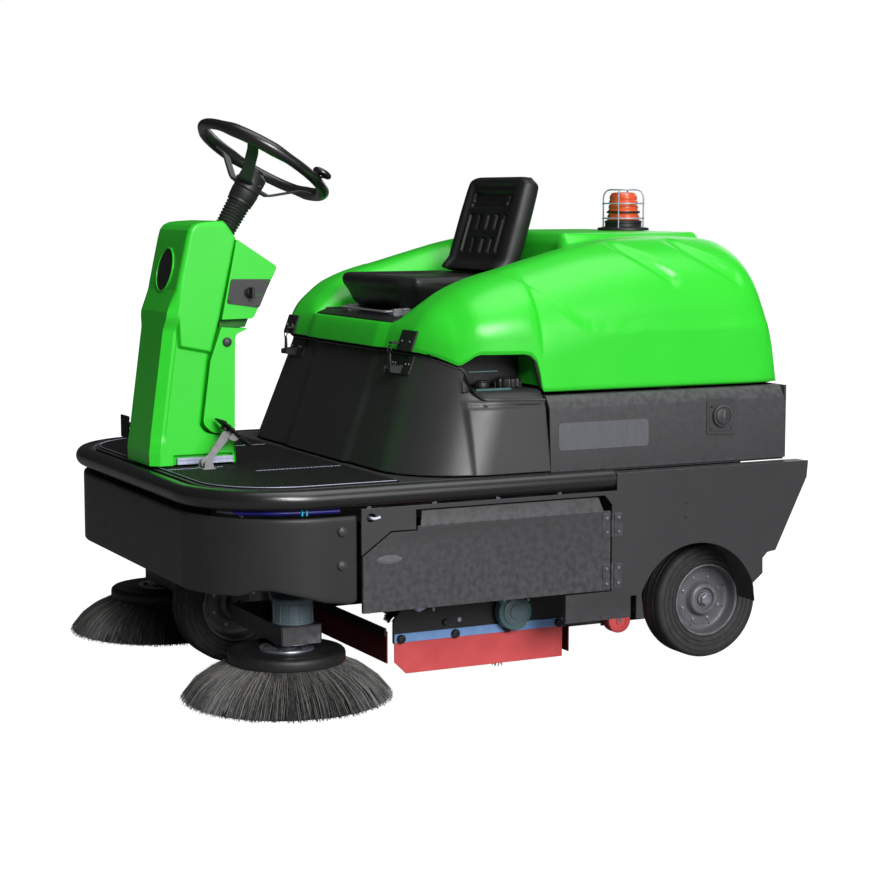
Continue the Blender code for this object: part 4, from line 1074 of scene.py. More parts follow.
def make_column():
    spans = ((0.5587, 0.6, 12), (0.6, 0.83, 40), (0.83, 1.04, 105), (1.04, 1.15, 20), (1.15, 1.1955, 22))
    heights = [low + (high - low) * k / count for low, high, count in spans for k in range(count)]
    heights.append(spans[-1][1])
    rows = []
    for z in heights:
        left = column_section(z)
        right = [Vector((-p.x, p.y, p.z)) for p in reversed(left[1:-1])]
        rows.append(left + right)
    bm = bmesh.new()
    verts = add_grid(bm, rows, wrap=True)
    bm.faces.new(verts[0][::-1])
    bm.faces.new(verts[-1])
    put("column_shell", bm, "green", "chassis", ("steering_column",), sharp=50)
    # The aluminium bar in the foot's opening, on both sides.
    for word, side in SIDES:
        bm = bmesh.new()
        profile = [(0.099, 0.56), (0.1085, 0.56), (0.1085, 0.5655), (0.106, 0.5665),
                   (0.106, 0.569), (0.1085, 0.57), (0.1085, 0.5775), (0.099, 0.5775)]
        add_slab(bm, [(side * x, z) for x, z in profile], -0.748, -0.593, "Y")
        put("foot_bar_" + word, bm, "lavender", bevel=0.0006)
    # Round blank badge on the front, leaning with it.
    lean = Vector((0, -0.9766, 0.215)).normalized()
    centre = Vector((0, -0.737, 1.067))
    ring = [(0.06, -0.002), (0.06, 0.002), (0.0588, 0.0032), (0.0566, 0.0032), (0.0558, 0.0018),
            (0.0558, -0.002)]
    lathe("badge_ring", ring, centre, lean, "green", steps=72)
    plate = [(0.0556, -0.002), (0.0556, 0.0012), (0.0545, 0.0018), (0.042, 0.0018), (0.0414, 0.0012),
             (0.04, 0.0012), (0.0394, 0.0018), (0.0, 0.0022)]
    lathe("badge_plate", plate, centre, lean, "dark", steps=72)
    # Console behind the column: upper wedge, and the lower body with its recess.
    wedge = [(-0.5805, 1.148), (-0.466, 1.0745), (-0.536, 0.939), (-0.624, 0.938)]
    body = [(-0.6245, 0.918), (-0.549, 0.913), (-0.586, 0.8975), (-0.59, 0.633), (-0.653, 0.641),
            (-0.6785, 0.666), (-0.656, 0.83)]
    neck = [(-0.623, 0.94), (-0.542, 0.94), (-0.552, 0.916), (-0.625, 0.916)]
    bm = bmesh.new()
    add_slab(bm, rounded(wedge, [0.004, 0.01, 0.008, 0.003], 4), -0.1188, 0.1188, "X")
    put("console_head", bm, "green", "chassis", ("column_console",), bevel=0.0045)
    bm = bmesh.new()
    add_slab(bm, rounded(body, [0.003, 0.004, 0.012, 0.006, 0.01, 0.012, 0.004], 4), -0.115, 0.115,
             "X")
    put("console_body", bm, "green", bevel=0.0045)
    # The recessed neck in darker green: painted shade.
    slab("console_neck", neck, -0.0985, 0.0985, "X", "green_painted_shade", bevel=0.001)
    for word, side in SIDES:
        bm = bmesh.new()
        add_bolt(bm, (side * 0.115, -0.6095, 0.879), (side, 0, 0), 0.0125)
        put("console_stud_" + word, bm, "panel")
    # Key panel: grey plate, screws, the lock barrel's bezel and a pressed mark.
    panel = rounded([(-0.598, 1.044), (-0.486, 1.042), (-0.52, 0.967), (-0.61, 0.9805)], 0.006, 3)
    slab("switch_plate", panel, 0.1189, 0.1222, "X", "grey", "chassis", ("key_panel",), bevel=0.0008)
    screws = [(0.1222, -0.5905, 1.036), (0.1222, -0.499, 1.0345), (0.1222, -0.602, 0.988),
              (0.1222, -0.5265, 0.9755)]
    # The screws and the pressed mark in darker green: painted shade.
    bolts("switch_screws", screws, X_AXIS, 0.003, "green_painted_shade")
    box("switch_mark", (0.1222, -0.529, 0.999), (0.1228, -0.516, 1.002), "green_painted_shade", bevel=0.0002)
    barrel = [(0.0145, 0.0), (0.0145, 0.003), (0.0125, 0.0045), (0.011, 0.0045), (0.0105, 0.002),
              (0.0, 0.002)]
    lathe("lock_bezel", barrel, (0.1222, -0.548, 1.008), X_AXIS, "dark", steps=40)
    bm = bmesh.new()
    add_lathe(bm, [(0.0098, 0.0), (0.0098, 0.008), (0.0088, 0.0092), (0.0, 0.0094)],
              (0.124, -0.548, 1.008), X_AXIS, 32)
    grip = rounded([(-0.552, 0.993), (-0.544, 0.993), (-0.544, 1.023), (-0.552, 1.023)], 0.003, 3)
    add_slab(bm, grip, 0.1332, 0.1545, "X")
    put("key_blade", bm, "dark", "key", ("key",), bevel=0.0008)


# ---------------------------------------------------------------- steering wheel

STEER_LEAN = radians(31)
STEER_FOOT = Vector((0.0, -0.5814, 1.1517))
STEER_AXIS = Vector((0.0, sin(STEER_LEAN), cos(STEER_LEAN)))
STEER_BACK = STEER_AXIS.cross(X_AXIS)
RIM_RISE = 0.2396
RIM_R = 0.181
SPOKES = (-33, 87, 207)


def wheel_spoke(degrees):
    """Direction from the middle of the steering wheel towards its rim."""
    angle = radians(degrees)
    return X_AXIS * cos(angle) + STEER_BACK * sin(angle)


def on_wheel(degrees, radius, height):
    return STEER_FOOT + STEER_AXIS * height + wheel_spoke(degrees) * radius


def make_steering():
    # Bellows: eleven folds, then a smooth collar under the hub.
    profile = [(0.0, -0.012), (0.0285, -0.012)]
    folds = 11
    for i in range(folds):
        base = 0.004 + 0.098 * i / folds
        pitch = 0.098 / folds
        size = 0.0262 + 0.0035 * i / folds
        profile += [(size, base), (size + 0.0022, base + pitch * 0.18), (size + 0.0035, base + pitch * 0.42),
                    (size + 0.0022, base + pitch * 0.66), (size, base + pitch * 0.84)]
    profile += [(0.03, 0.103), (0.0345, 0.105), (0.035, 0.109), (0.034, 0.112), (0.0355, 0.114),
                (0.0375, 0.14), (0.0365, 0.1415), (0.0, 0.1415)]
    lathe("steering_bellows", profile, STEER_FOOT, STEER_AXIS, "boot", "chassis", ("steering_boot",),
          steps=64)
    # Hub, three folded flat spokes and the padded rim.
    hub = [(0.0, 0.1425), (0.035, 0.1425), (0.037, 0.1445), (0.037, 0.186), (0.035, 0.19),
           (0.024, 0.198), (0.0225, 0.205), (0.0205, 0.2065), (0.0, 0.2068)]
    bm = bmesh.new()
    add_lathe(bm, hub, STEER_FOOT, STEER_AXIS, 48)
    for degrees in (27, 147, 267):
        low = on_wheel(degrees, 0.0375, 0.165)
        add_bolt(bm, low, low - (STEER_FOOT + STEER_AXIS * 0.165), 0.0055)
    put("steering_hub", bm, "black", "steering_wheel", ("steering_wheel",), bevel=0.0008)
    bm = bmesh.new()
    for degrees in SPOKES:
        across = wheel_spoke(degrees)
        sideways = STEER_AXIS.cross(across)
        route = [(0.022, 0.1595), (0.056, 0.1605), (0.068, 0.168), (0.128, 0.218), (0.142, 0.224),
                 (0.176, 0.233)]
        previous = None
        for i, (radius, height) in enumerate(route):
            ahead = Vector(route[min(i + 1, 5)]) - Vector(route[max(i - 1, 0)])
            ahead.normalize()
            normal = across * -ahead.y + STEER_AXIS * ahead.x
            place = STEER_FOOT + across * radius + STEER_AXIS * height
            half = 0.018 - 0.003 * i / 5
            ring = [bm.verts.new(place + sideways * u * half + normal * v * 0.0032)
                    for u, v in ((-1, -1), (1, -1), (1, 1), (-1, 1))]
            if previous:
                for k in range(4):
                    j = (k + 1) % 4
                    bm.faces.new((previous[k], previous[j], ring[j], ring[k]))
            else:
                bm.faces.new(ring[::-1])
            previous = ring
        bm.faces.new(previous)
    put("steering_spokes", bm, "panel", "steering_wheel", bevel=0.0016)
    bm = bmesh.new()
    points, sizes = [], []
    for k in range(144):
        degrees = k * 2.5
        points.append(on_wheel(degrees, RIM_R, RIM_RISE))
        gap = min(abs((degrees - spoke + 180) % 360 - 180) for spoke in SPOKES)
        sizes.append(0.0146 + 0.004 * (1 - smoothstep(18, 36, gap)))
    rings = []
    for k, point in enumerate(points):
        out = (point - STEER_FOOT - STEER_AXIS * RIM_RISE).normalized()
        ring = []
        for i in range(20):
            angle = tau * i / 20
            ring.append(bm.verts.new(point + out * sizes[k] * cos(angle)
                                     + STEER_AXIS * sizes[k] * sin(angle) * 0.96))
        rings.append(ring)
    for a, b in zip(rings, rings[1:] + rings[:1]):
        for i in range(20):
            j = (i + 1) % 20
            bm.faces.new((a[i], a[j], b[j], b[i]))
    put("steering_rim", bm, "rail", "steering_wheel", sharp=60)
    foot = on_wheel(40, RIM_R, RIM_RISE)
    knob = [(0.0, 0.0155), (0.0095, 0.016), (0.0095, 0.018), (0.0125, 0.019), (0.0235, 0.0212),
            (0.0262, 0.0245), (0.0262, 0.0285), (0.024, 0.0325), (0.018, 0.0352), (0.0, 0.0368)]
    lathe("spinner_grip", knob, foot, STEER_AXIS, "rail", "spinner_knob", ("spinner_knob",), steps=48)


# ---------------------------------------------------------------- pedals


PEDAL_X = 0.165
PEDAL_PIVOT_Z = 0.566
BRAKE_PIVOT_Y = -0.69
DRIVE_PIVOT_Y = -0.72


def add_pedal_arm(bm, outline, x, pivot_y):
    """A cranked flat arm, drawn as heights over its pivot, with the boss that it turns on."""
    arm = [(y, PEDAL_PIVOT_Z + z) for y, z in outline]
    add_slab(bm, rounded(arm, 0.006 if x > 0 else 0.004, 3), x - 0.0035, x + 0.0035, "X")
    boss = [(0.0, -0.016), (0.0085, -0.016), (0.0085, 0.016), (0.0, 0.016)]
    add_lathe(bm, boss, (x, pivot_y, PEDAL_PIVOT_Z), X_AXIS, 24)


def make_pedals():
    # Near pedal: cranked flat arm, clevis with pin, flat pad and its dome.
    x = PEDAL_X
    bm = bmesh.new()
    add_pedal_arm(bm, [(-0.704, -0.007), (-0.676, -0.007), (-0.674, 0.01), (-0.66, 0.026), (-0.625, 0.064),
                       (-0.606, 0.066), (-0.603, 0.084), (-0.624, 0.09), (-0.642, 0.084), (-0.686, 0.022),
                       (-0.704, 0.012)], x, BRAKE_PIVOT_Y)
    put("brake_arm", bm, "dull_steel", "pedal_left", ("pedal_left",), bevel=0.001)
    bm = bmesh.new()
    slope = Vector((0, 0.081, -0.072)).normalized()
    normal = Vector((0, 0.072, 0.081)).normalized()
    middle = Vector((x, -0.6125, 0.645))
    turn = Matrix((X_AXIS, slope, normal)).transposed().to_4x4()
    turn.translation = middle
    bmesh.ops.create_cube(bm, size=1.0, matrix=turn @ Matrix.Diagonal((0.064, 0.1065, 0.005, 1)))
    for k in range(7):
        place = turn @ Matrix.Translation((0, -0.044 + 0.0145 * k, 0.0034))
        bmesh.ops.create_cube(bm, size=1.0, matrix=place @ Matrix.Diagonal((0.058, 0.005, 0.0024, 1)))
    put("brake_pad", bm, "mat", "pedal_left", bevel=0.0009)
    bm = bmesh.new()
    for dx in (-0.0125, 0.0125):
        ear = [(-0.633, 0.63), (-0.615, 0.622), (-0.601, 0.63), (-0.6, 0.644), (-0.616, 0.648)]
        add_slab(bm, rounded(ear, 0.005, 3), x + dx - 0.0016, x + dx + 0.0016, "X")
    add_lathe(bm, [(0.0, -0.0155), (0.0042, -0.0155), (0.0042, 0.0155), (0.0, 0.0155)],
              (x, -0.614, 0.633), X_AXIS, 20)
    put("brake_clevis", bm, "dull_steel", "pedal_left", bevel=0.0006)
    dome = [(0.0, -0.004), (0.0115, -0.004), (0.012, 0.001), (0.011, 0.006), (0.008, 0.0095),
            (0.0, 0.0112)]
    lathe("brake_stop", dome, turn @ Vector((0, -0.026, -0.0075)), -slope * 0.4 + normal, "dark",
          "pedal_left", steps=32)
    # Far pedal: an arm that leans forwards under a ribbed pad.
    x = -PEDAL_X
    bm = bmesh.new()
    add_pedal_arm(bm, [(-0.728, -0.007), (-0.711, -0.007), (-0.713, 0.014), (-0.744, 0.068), (-0.756, 0.078),
                       (-0.796, 0.083), (-0.796, 0.073), (-0.756, 0.066), (-0.73, 0.01)], x, DRIVE_PIVOT_Y)
    put("drive_arm", bm, "dull_steel", "pedal_right", ("pedal_right",), bevel=0.001)
    bm = bmesh.new()
    add_box(bm, (x - 0.03, -0.8045, 0.608), (x + 0.03, -0.7985, 0.668))
    for k in range(5):
        z = 0.613 + 0.0115 * k
        add_box(bm, (x - 0.027, -0.7985, z), (x + 0.027, -0.7962, z + 0.005))
    put("drive_pad", bm, "mat", "pedal_right", bevel=0.0009)
    for name, px, py in (("brake_foot", PEDAL_X, BRAKE_PIVOT_Y),
                         ("drive_foot", -PEDAL_X, DRIVE_PIVOT_Y)):
        bm = bmesh.new()
        for dx in (-0.022, 0.022):
            ear = rounded([(py - 0.014, 0.5546), (py + 0.014, 0.5546), (py + 0.01, 0.578),
                           (py - 0.01, 0.578)], 0.005, 3)
            add_slab(bm, ear, px + dx - 0.0016, px + dx + 0.0016, "X")
        add_box(bm, (px - 0.026, py - 0.018, 0.5546), (px + 0.026, py + 0.018, 0.5566))
        put(name, bm, "dull_steel", bevel=0.0006)


# ---------------------------------------------------------------- deck, rail and skirt


def make_deck():
    deck = nose(0.6115, -0.8075, 0.2245, 0.819, 20)
    slab("deck_sheet", deck, 0.5456, 0.5504, "Z", "panel", "chassis", ("deck_plate",), bevel=0.0012)
    mat = nose(0.5975, -0.7975, 0.2115, -0.3365, 20)
    bm = bmesh.new()
    add_slab(bm, mat, 0.551, 0.5538, "Z")
    # Raised rubber panes, with narrow channels between them.
    rows = []
    for k in range(46):
        y = -0.785 + 0.0098 * k
        if y > -0.345:
            break
        reach = 0.585
        if y < -0.586:
            reach = 0.386 + sqrt(max(0.0, 0.2 ** 2 - (y + 0.586) ** 2))
        rows.append((y, reach - 0.004))
    for y, reach in rows:
        add_box(bm, (-reach, y - 0.0034, 0.5532), (reach, y + 0.0034, 0.5545))
    put("deck_rubber", bm, "mat", "chassis", ("deck_mat",), bevel=0.0006)
    seams = bmesh.new()
    for low, high in (((0.2655, -0.592, 0.5538), (0.2685, -0.352, 0.555)),
                      ((-0.2685, -0.592, 0.5538), (-0.2655, -0.352, 0.555)),
                      ((0.15, -0.79, 0.5538), (0.152, -0.64, 0.555))):
        add_box(seams, low, high)
    edge = [(x, y, 0.5546) for x, y in nose(0.5955, -0.7955, 0.2095, -0.345, 20)]
    add_tube(seams, edge, 0.0011, 6)
    put("deck_seams", seams, "lavender")


def make_rail():
    half = 0.642
    path = nose(half, -0.838, 0.258, 0.2505, 36)
    straight = [(half, 0.2505 - (0.2505 + 0.58) * k / 24) for k in range(24)]
    corner = path[1:-1]
    points = straight + corner + [(-x, y) for x, y in reversed(straight)]
    bm = bmesh.new()
    add_tube(bm, [(x, y, 0.528) for x, y in points], 0.0258, 28)
    put("bumper_tube", bm, "rail", "chassis", ("bumper_rail",), sharp=50)
    for word, side in SIDES:
        cap = [(0.0, 0.0), (0.0215, 0.0), (0.0235, 0.0015), (0.0235, 0.004), (0.0, 0.004)]
        lathe("rail_plug_" + word, cap, (side * half, 0.2505, 0.528), Y_AXIS, "dark", steps=36)
        # Hose and cable runs that show through the gap under the rail.
        hoses = bmesh.new()
        for number, (x, z, size) in enumerate(((0.63, 0.5, 0.0055), (0.618, 0.5085, 0.0045))):
            route = [(side * x, -0.52 + 0.02 * k, z + 0.002 * sin(k * 0.9 + number))
                     for k in range(38)]
            add_tube(hoses, smooth_path(route, 2), size, 8)
        put("side_hoses_" + word, hoses, "dark")
        clips = bmesh.new()
        for y in (-0.44, -0.26, -0.08, 0.1):
            add_box(clips, (side * 0.624 - 0.016, y - 0.006, 0.49), (side * 0.624 + 0.016, y + 0.006, 0.516))
        put("hose_clips_" + word, clips, "zinc", bevel=0.001)
        tube("blue_hose_" + word, smooth_path([(side * 0.56, -0.76, 0.496), (side * 0.615, -0.68, 0.4965),
                                               (side * 0.634, -0.6, 0.496), (side * 0.638, -0.52, 0.495)],
                                              6), 0.0062, "hose_blue", sides=12)
        tube("pale_hose_" + word, smooth_path([(side * 0.5, -0.785, 0.493), (side * 0.575, -0.73, 0.493),
                                               (side * 0.618, -0.65, 0.4925), (side * 0.63, -0.56, 0.492)],
                                              6), 0.003, "lavender", sides=10)
        bm = bmesh.new()
        x = side * 0.6325
        for y in (-0.618, -0.606):
            add_box(bm, (x - 0.0085, y - 0.002, 0.4885), (x + 0.0085, y + 0.002, 0.5035))
        add_box(bm, (x - 0.0075, -0.618, 0.502), (x + 0.0075, -0.606, 0.504))
        put("cyan_clip_" + word, bm, "cyan", bevel=0.0008)


SKIRT_EDGE = [
    (-0.843, 0.2905), (-0.765, 0.2925), (-0.757, 0.294), (-0.738, 0.304), (-0.728, 0.307),
    (-0.7, 0.308), (-0.688, 0.306), (-0.635, 0.293), (-0.57, 0.2745), (-0.517, 0.267),
    (-0.5, 0.266), (-0.488, 0.272),
]


def make_skirt():
    half, front, radius = 0.667, -0.842, 0.283
    side = [(half, -0.4865 - 0.004 * k) for k in range(18)]
    corner = arc((half - radius, front + radius), radius, 0, -90, 40)
    flat = [((half - radius) * (1 - k / 24), front) for k in range(1, 25)]
    left = [p for p in side if p[1] > front + radius + 0.003] + corner + flat
    plan = left + [(-x, y) for x, y in reversed(left[:-1])]
    rows = []
    lip = [(0.014, 0.479), (0.011, 0.4832), (0.006, 0.485), (0.0025, 0.484), (0.0006, 0.4805),
           (0.0, 0.475)]

    def inward(i, amount):
        """A point of the plan, moved in from the outside by an amount."""
        ahead = Vector(plan[min(i + 1, len(plan) - 1)]) - Vector(plan[max(i - 1, 0)])
        ahead.normalize()
        x, y = plan[i]
        return x + ahead.y * amount, y - ahead.x * amount

    for amount, z in lip:
        rows.append([Vector((*inward(i, amount), z)) for i in range(len(plan))])
    for k in range(1, 25):
        t = k / 24
        row = []
        for i, (x, y) in enumerate(plan):
            low = read(SKIRT_EDGE, y)
            z = 0.475 + (low + 0.006 - 0.475) * t
            row.append(Vector((x, y, z)))
        rows.append(row)
    for amount, drop in ((0.0006, 0.003), (0.0025, 0.0008), (0.006, 0.0), (0.01, 0.0012)):
        rows.append([Vector((*inward(i, amount), read(SKIRT_EDGE, plan[i][1]) + drop))
                     for i in range(len(plan))])
    skin("skirt_shell", rows, "skirt", "chassis", ("front_skirt",), wall=0.004, sharp=60)
    for word, side_sign in SIDES:
        bolts("skirt_studs_" + word, [(side_sign * 0.667, -0.526, 0.449), (side_sign * 0.667, -0.527, 0.365)],
              (side_sign, 0, 0), 0.0125, "panel")


# ---------------------------------------------------------------- side panels and doors


PANEL_FACE = 0.6675


def make_side_panels():
    front = [
        (-0.473, 0.5), (-0.473, 0.384), (-0.394, 0.44), (-0.325, 0.44), (-0.325, 0.4895),
        (0.219, 0.4895), (0.241, 0.463), (0.241, 0.235), (0.104, 0.235), (0.104, 0.161),
        (0.3, 0.161), (0.3, 0.218), (0.318, 0.218), (0.318, 0.155), (0.342, 0.155),
    ]
    rear = [
        (0.719, 0.245), (0.718, 0.286), (0.733, 0.301), (0.76, 0.305), (0.859, 0.5),
        (0.863, 0.545), (0.256, 0.545), (0.256, 0.5),
    ]
    arch = arc((0.51, 0.155), 0.188, 160, 20, 48)
    hole = ellipse((-0.447, 0.477), 0.013, 0.011, 24)
    for word, side in SIDES:
        bm = bmesh.new()
        add_slab(bm, front + arch + rear, side * 0.6605, side * PANEL_FACE, "X", [hole])
        put("side_plate_" + word, bm, "panel", "chassis", ("side_panel_" + word,), bevel=0.0008)
        bm = bmesh.new()
        add_box(bm, (side * 0.616, 0.2605, 0.5398), (side * 0.6615, 0.8605, 0.544))
        tail = [(0.861, 0.544), (0.857, 0.5), (0.76, 0.307), (0.755, 0.307), (0.852, 0.501),
                (0.856, 0.544)]
        add_slab(bm, tail, side * 0.64, side * 0.6615, "X")
        put("side_flange_" + word, bm, "panel", bevel=0.0008)
        # Small lever through the hole in the corner plate.
        bm = bmesh.new()
        add_tube(bm, smooth_path([(side * 0.655, -0.452, 0.478), (side * 0.664, -0.448, 0.476),
                                  (side * 0.668, -0.438, 0.474), (side * 0.669, -0.424, 0.477)], 5),
                 0.0045, 10)
        put("corner_lever_" + word, bm, "zinc")
        bm = bmesh.new()
        for y, z in ((0.47, 0.452), (0.468, 0.415)):
            add_bolt(bm, (side * PANEL_FACE, y, z), (side, 0, 0), 0.0035, "disc")
        put("plate_plugs_" + word, bm, "dark")
        # Inner wheel arch, so that the wheel stands in a dark housing.
        rows = []
        for x in (0.66, 0.575):
            rows.append([Vector((side * x, y, z)) for y, z in arc((0.51, 0.155), 0.1895, 176, 4, 40)])
        skin("arch_liner_" + word, rows, "dark", wall=0.0)


def hinge(bm_plate, bm_screw, side, low, high, leaf_ys):
    """One leaf of a butt hinge, and its screws."""
    x = side * PANEL_FACE
    front, rear = leaf_ys
    add_box(bm_plate, (x, front, low), (x + side * 0.0028, rear, high))
    for z in (low + 0.013, high - 0.013):
        add_bolt(bm_screw, (x + side * 0.0026, (front + rear) / 2 + 0.001, z), (side, 0, 0), 0.0048)


def make_doors():
    outline = [
        (-0.47, 0.2395), (-0.47, 0.3805), (-0.3915, 0.4365), (-0.3205, 0.4365), (-0.3205, 0.448),
        (0.216, 0.448), (0.236, 0.448), (0.236, 0.2395),
    ]
    spans = ((0.379, 0.442), (0.243, 0.309))
    for word, side in SIDES:
        door = "side_door_" + word
        bm = bmesh.new()
        add_slab(bm, outline, side * 0.657, side * 0.668, "X")
        put("door_panel_" + word, bm, "panel", door, (door,), bevel=0.0009)
        # Folded upper edge, leaning in from the crease.
        bm = bmesh.new()
        ends = []
        for y, shift in ((-0.312, 0.008), (0.2155, -0.01)):
            corners = ((0.668, 0.4475, 0), (0.657, 0.4845, shift), (0.653, 0.4845, shift),
                       (0.662, 0.4475, 0))
            ends.append([bm.verts.new((side * x, y + s, z)) for x, z, s in corners])
        for k in range(4):
            j = (k + 1) % 4
            bm.faces.new((ends[0][k], ends[0][j], ends[1][j], ends[1][k]))
        bm.faces.new(ends[0][::-1])
        bm.faces.new(ends[1])
        put("door_fold_" + word, bm, "panel", door, bevel=0.0006)
        # Oval pull, with a slot across it.
        bm = bmesh.new()
        oval = ellipse((-0.399, 0.37), 0.034, 0.0112, 40)
        add_slab(bm, oval, side * 0.668, side * 0.67, "X")
        inner = ellipse((-0.399, 0.3705), 0.029, 0.0078, 40)
        add_slab(bm, inner, side * 0.67, side * 0.6722, "X")
        put("door_pull_" + word, bm, "rim", door, bevel=0.0008)
        leaves, screws = bmesh.new(), bmesh.new()
        fixed, fixed_screws = bmesh.new(), bmesh.new()
        for z0, z1 in spans:
            hinge(leaves, screws, side, z0, z1, (0.212, 0.2345))
            hinge(fixed, fixed_screws, side, z0, z1, (0.2475, 0.271))
            add_lathe(fixed, [(0.0, z0), (0.0042, z0), (0.0042, z1), (0.0, z1)],
                      (side * 0.6695, 0.241, 0.0), Z_AXIS, 16)
        put("door_leaves_" + word, leaves, "panel", door, bevel=0.0007)
        put("door_screws_" + word, screws, "rim", door)
        put("hinge_leaves_" + word, fixed, "panel", bevel=0.0007)
        put("hinge_screws_" + word, fixed_screws, "rim")


make_column()
make_steering()
make_pedals()
make_deck()
make_rail()
make_skirt()
make_side_panels()
make_doors()

# ---------------------------------------------------------------- wheels and fork

TREAD_HALF = [
    (0.1005, 0.04), (0.104, 0.0445), (0.107, 0.0462), (0.113, 0.0466), (0.1142, 0.0448),
    (0.116, 0.0448), (0.1172, 0.0466), (0.125, 0.047), (0.1262, 0.0452), (0.1282, 0.0452),
    (0.1294, 0.047), (0.14, 0.047), (0.1412, 0.0452), (0.143, 0.045), (0.1442, 0.0466),
    (0.15, 0.0458), (0.1545, 0.0432), (0.1575, 0.0395), (0.1593, 0.034), (0.1598, 0.029),
    (0.1598, 0.025), (0.156, 0.024), (0.1556, 0.02), (0.1598, 0.019), (0.16, 0.008),
    (0.1562, 0.007), (0.156, 0.0022), (0.16, 0.0012),
]
RIM_OUTSIDE = [
    (0.0998, 0.0396), (0.099, 0.0418), (0.0962, 0.0424), (0.0938, 0.0405), (0.0925, 0.036),
    (0.0908, 0.018), (0.088, 0.0105), (0.084, 0.008), (0.074, 0.0078), (0.073, 0.0098),
    (0.05, 0.011), (0.047, 0.014), (0.045, 0.023), (0.0425, 0.029), (0.0395, 0.0315),
    (0.032, 0.0322), (0.03, 0.03), (0.029, 0.024), (0.02, 0.0235), (0.019, 0.03),
    (0.013, 0.031),
]
RIM_INSIDE = [
    (0.013, -0.0395), (0.038, -0.0395), (0.04, -0.037), (0.041, -0.009), (0.082, -0.009),
    (0.088, -0.013), (0.0925, -0.036), (0.0938, -0.0395), (0.0985, -0.0405), (0.0998, -0.0396),
]


def add_ring(bm, profile, origin, axis, steps=72):
    """Turn a closed profile, so that the ring has no open edge."""
    matrix = aim(origin, axis)
    loops = []
    for i in range(steps):
        angle = tau * i / steps
        loops.append([bm.verts.new(matrix @ Vector((r * cos(angle), r * sin(angle), h)))
                      for r, h in profile])
    for a, b in zip(loops, loops[1:] + loops[:1]):
        for k in range(len(profile)):
            j = (k + 1) % len(profile)
            bm.faces.new((a[k], b[k], b[j], a[j]))


def make_wheel(word, place, facing, body):
    axis = (facing, 0, 0)
    mirrored = [(r, -h) for r, h in reversed(TREAD_HALF)]
    bm = bmesh.new()
    add_ring(bm, TREAD_HALF + mirrored, place, axis, 96)
    put(word + "_tread", bm, "tyre", body, (word + "_tyre",), sharp=32)
    bm = bmesh.new()
    add_ring(bm, RIM_OUTSIDE + RIM_INSIDE, place, axis, 72)
    put(word + "_disc", bm, "rim", body, (word + "_rim",), sharp=40)
    nuts, plugs = bmesh.new(), bmesh.new()
    out = Vector(axis)
    for k in range(8):
        angle = tau * (k + 0.5) / 8
        around = Vector((0, cos(angle), sin(angle)))
        add_bolt(nuts, Vector(place) + out * 0.01 + around * 0.0615, axis, 0.0056, "hex")
        add_bolt(plugs, Vector(place) + out * 0.0079 + around * 0.08, axis, 0.0026, "disc")
    put(word + "_nuts", nuts, "zinc", body, bevel=0.0005)
    put(word + "_plugs", plugs, "dark", body)


WHEEL_RADIUS = 0.16
REAR_TRACK_HALF, REAR_AXLE_Y, FRONT_AXLE_Y = 0.5125, 0.615, -0.56


def make_wheels():
    for word, side in SIDES:
        place = (side * REAR_TRACK_HALF, REAR_AXLE_Y, WHEEL_RADIUS)
        make_wheel("rear_" + word, place, side, "rear_wheel_" + word)
        bm = bmesh.new()
        add_lathe(bm, [(0.0, 0.0), (0.0118, 0.0), (0.0118, 0.0395), (0.01, 0.041), (0.0, 0.041)],
                  place, (side, 0, 0), 24)
        end = (side * (REAR_TRACK_HALF + 0.03), REAR_AXLE_Y, WHEEL_RADIUS)
        add_bolt(bm, end, (side, 0, 0), 0.0165, "hex")
        put("axle_nut_" + word, bm, "zinc", bevel=0.0006)
    y0, z0 = FRONT_AXLE_Y, WHEEL_RADIUS
    make_wheel("front", (0.0, y0, z0), 1, "front_wheel")
    # Fork: bearing disc, two legs with their gussets and bolts, and the crown between them.
    bm = bmesh.new()
    add_lathe(bm, [(0.0, 0.0), (0.085, 0.0), (0.085, 0.0165), (0.083, 0.02), (0.0, 0.02)],
              (0, y0, 0.4095), Z_AXIS, 56)
    for side in (1, -1):
        leg = [(y0 - 0.036, 0.381), (y0 + 0.036, 0.381), (y0 + 0.034, 0.25), (y0 + 0.024, 0.16),
               (y0 + 0.017, 0.138), (y0 - 0.017, 0.138), (y0 - 0.024, 0.16), (y0 - 0.034, 0.25)]
        add_slab(bm, rounded(leg, 0.01, 4), side * 0.0532, side * 0.063, "X")
        gusset = [(y0 - 0.004, 0.372), (y0 + 0.004, 0.372), (y0 + 0.004, 0.33), (y0 - 0.004, 0.33)]
        add_slab(bm, gusset, side * 0.063, side * 0.078, "X")
        add_bolt(bm, (side * 0.063, y0, z0), (side, 0, 0), 0.018, "hex")
        for dy in (-0.022, 0.022):
            add_bolt(bm, (side * 0.063, y0 + dy, 0.36), (side, 0, 0), 0.006, "hex")
    add_box(bm, (-0.063, y0 - 0.0362, 0.366), (0.063, y0 + 0.0362, 0.41))
    put("fork_casting", bm, "panel", "front_fork", ("front_fork",), bevel=0.0022)
    tube("fork_axle", [(-0.0585, y0, z0), (0.0585, y0, z0)], 0.0118, "zinc", "front_fork", sides=24)
    lathe("fork_bearing", [(0.0, 0.0), (0.07, 0.0), (0.07, 0.0045), (0.06, 0.006), (0.0, 0.006)],
          (0, y0, 0.429), Z_AXIS, "zinc", steps=48)


# ---------------------------------------------------------------- brushes


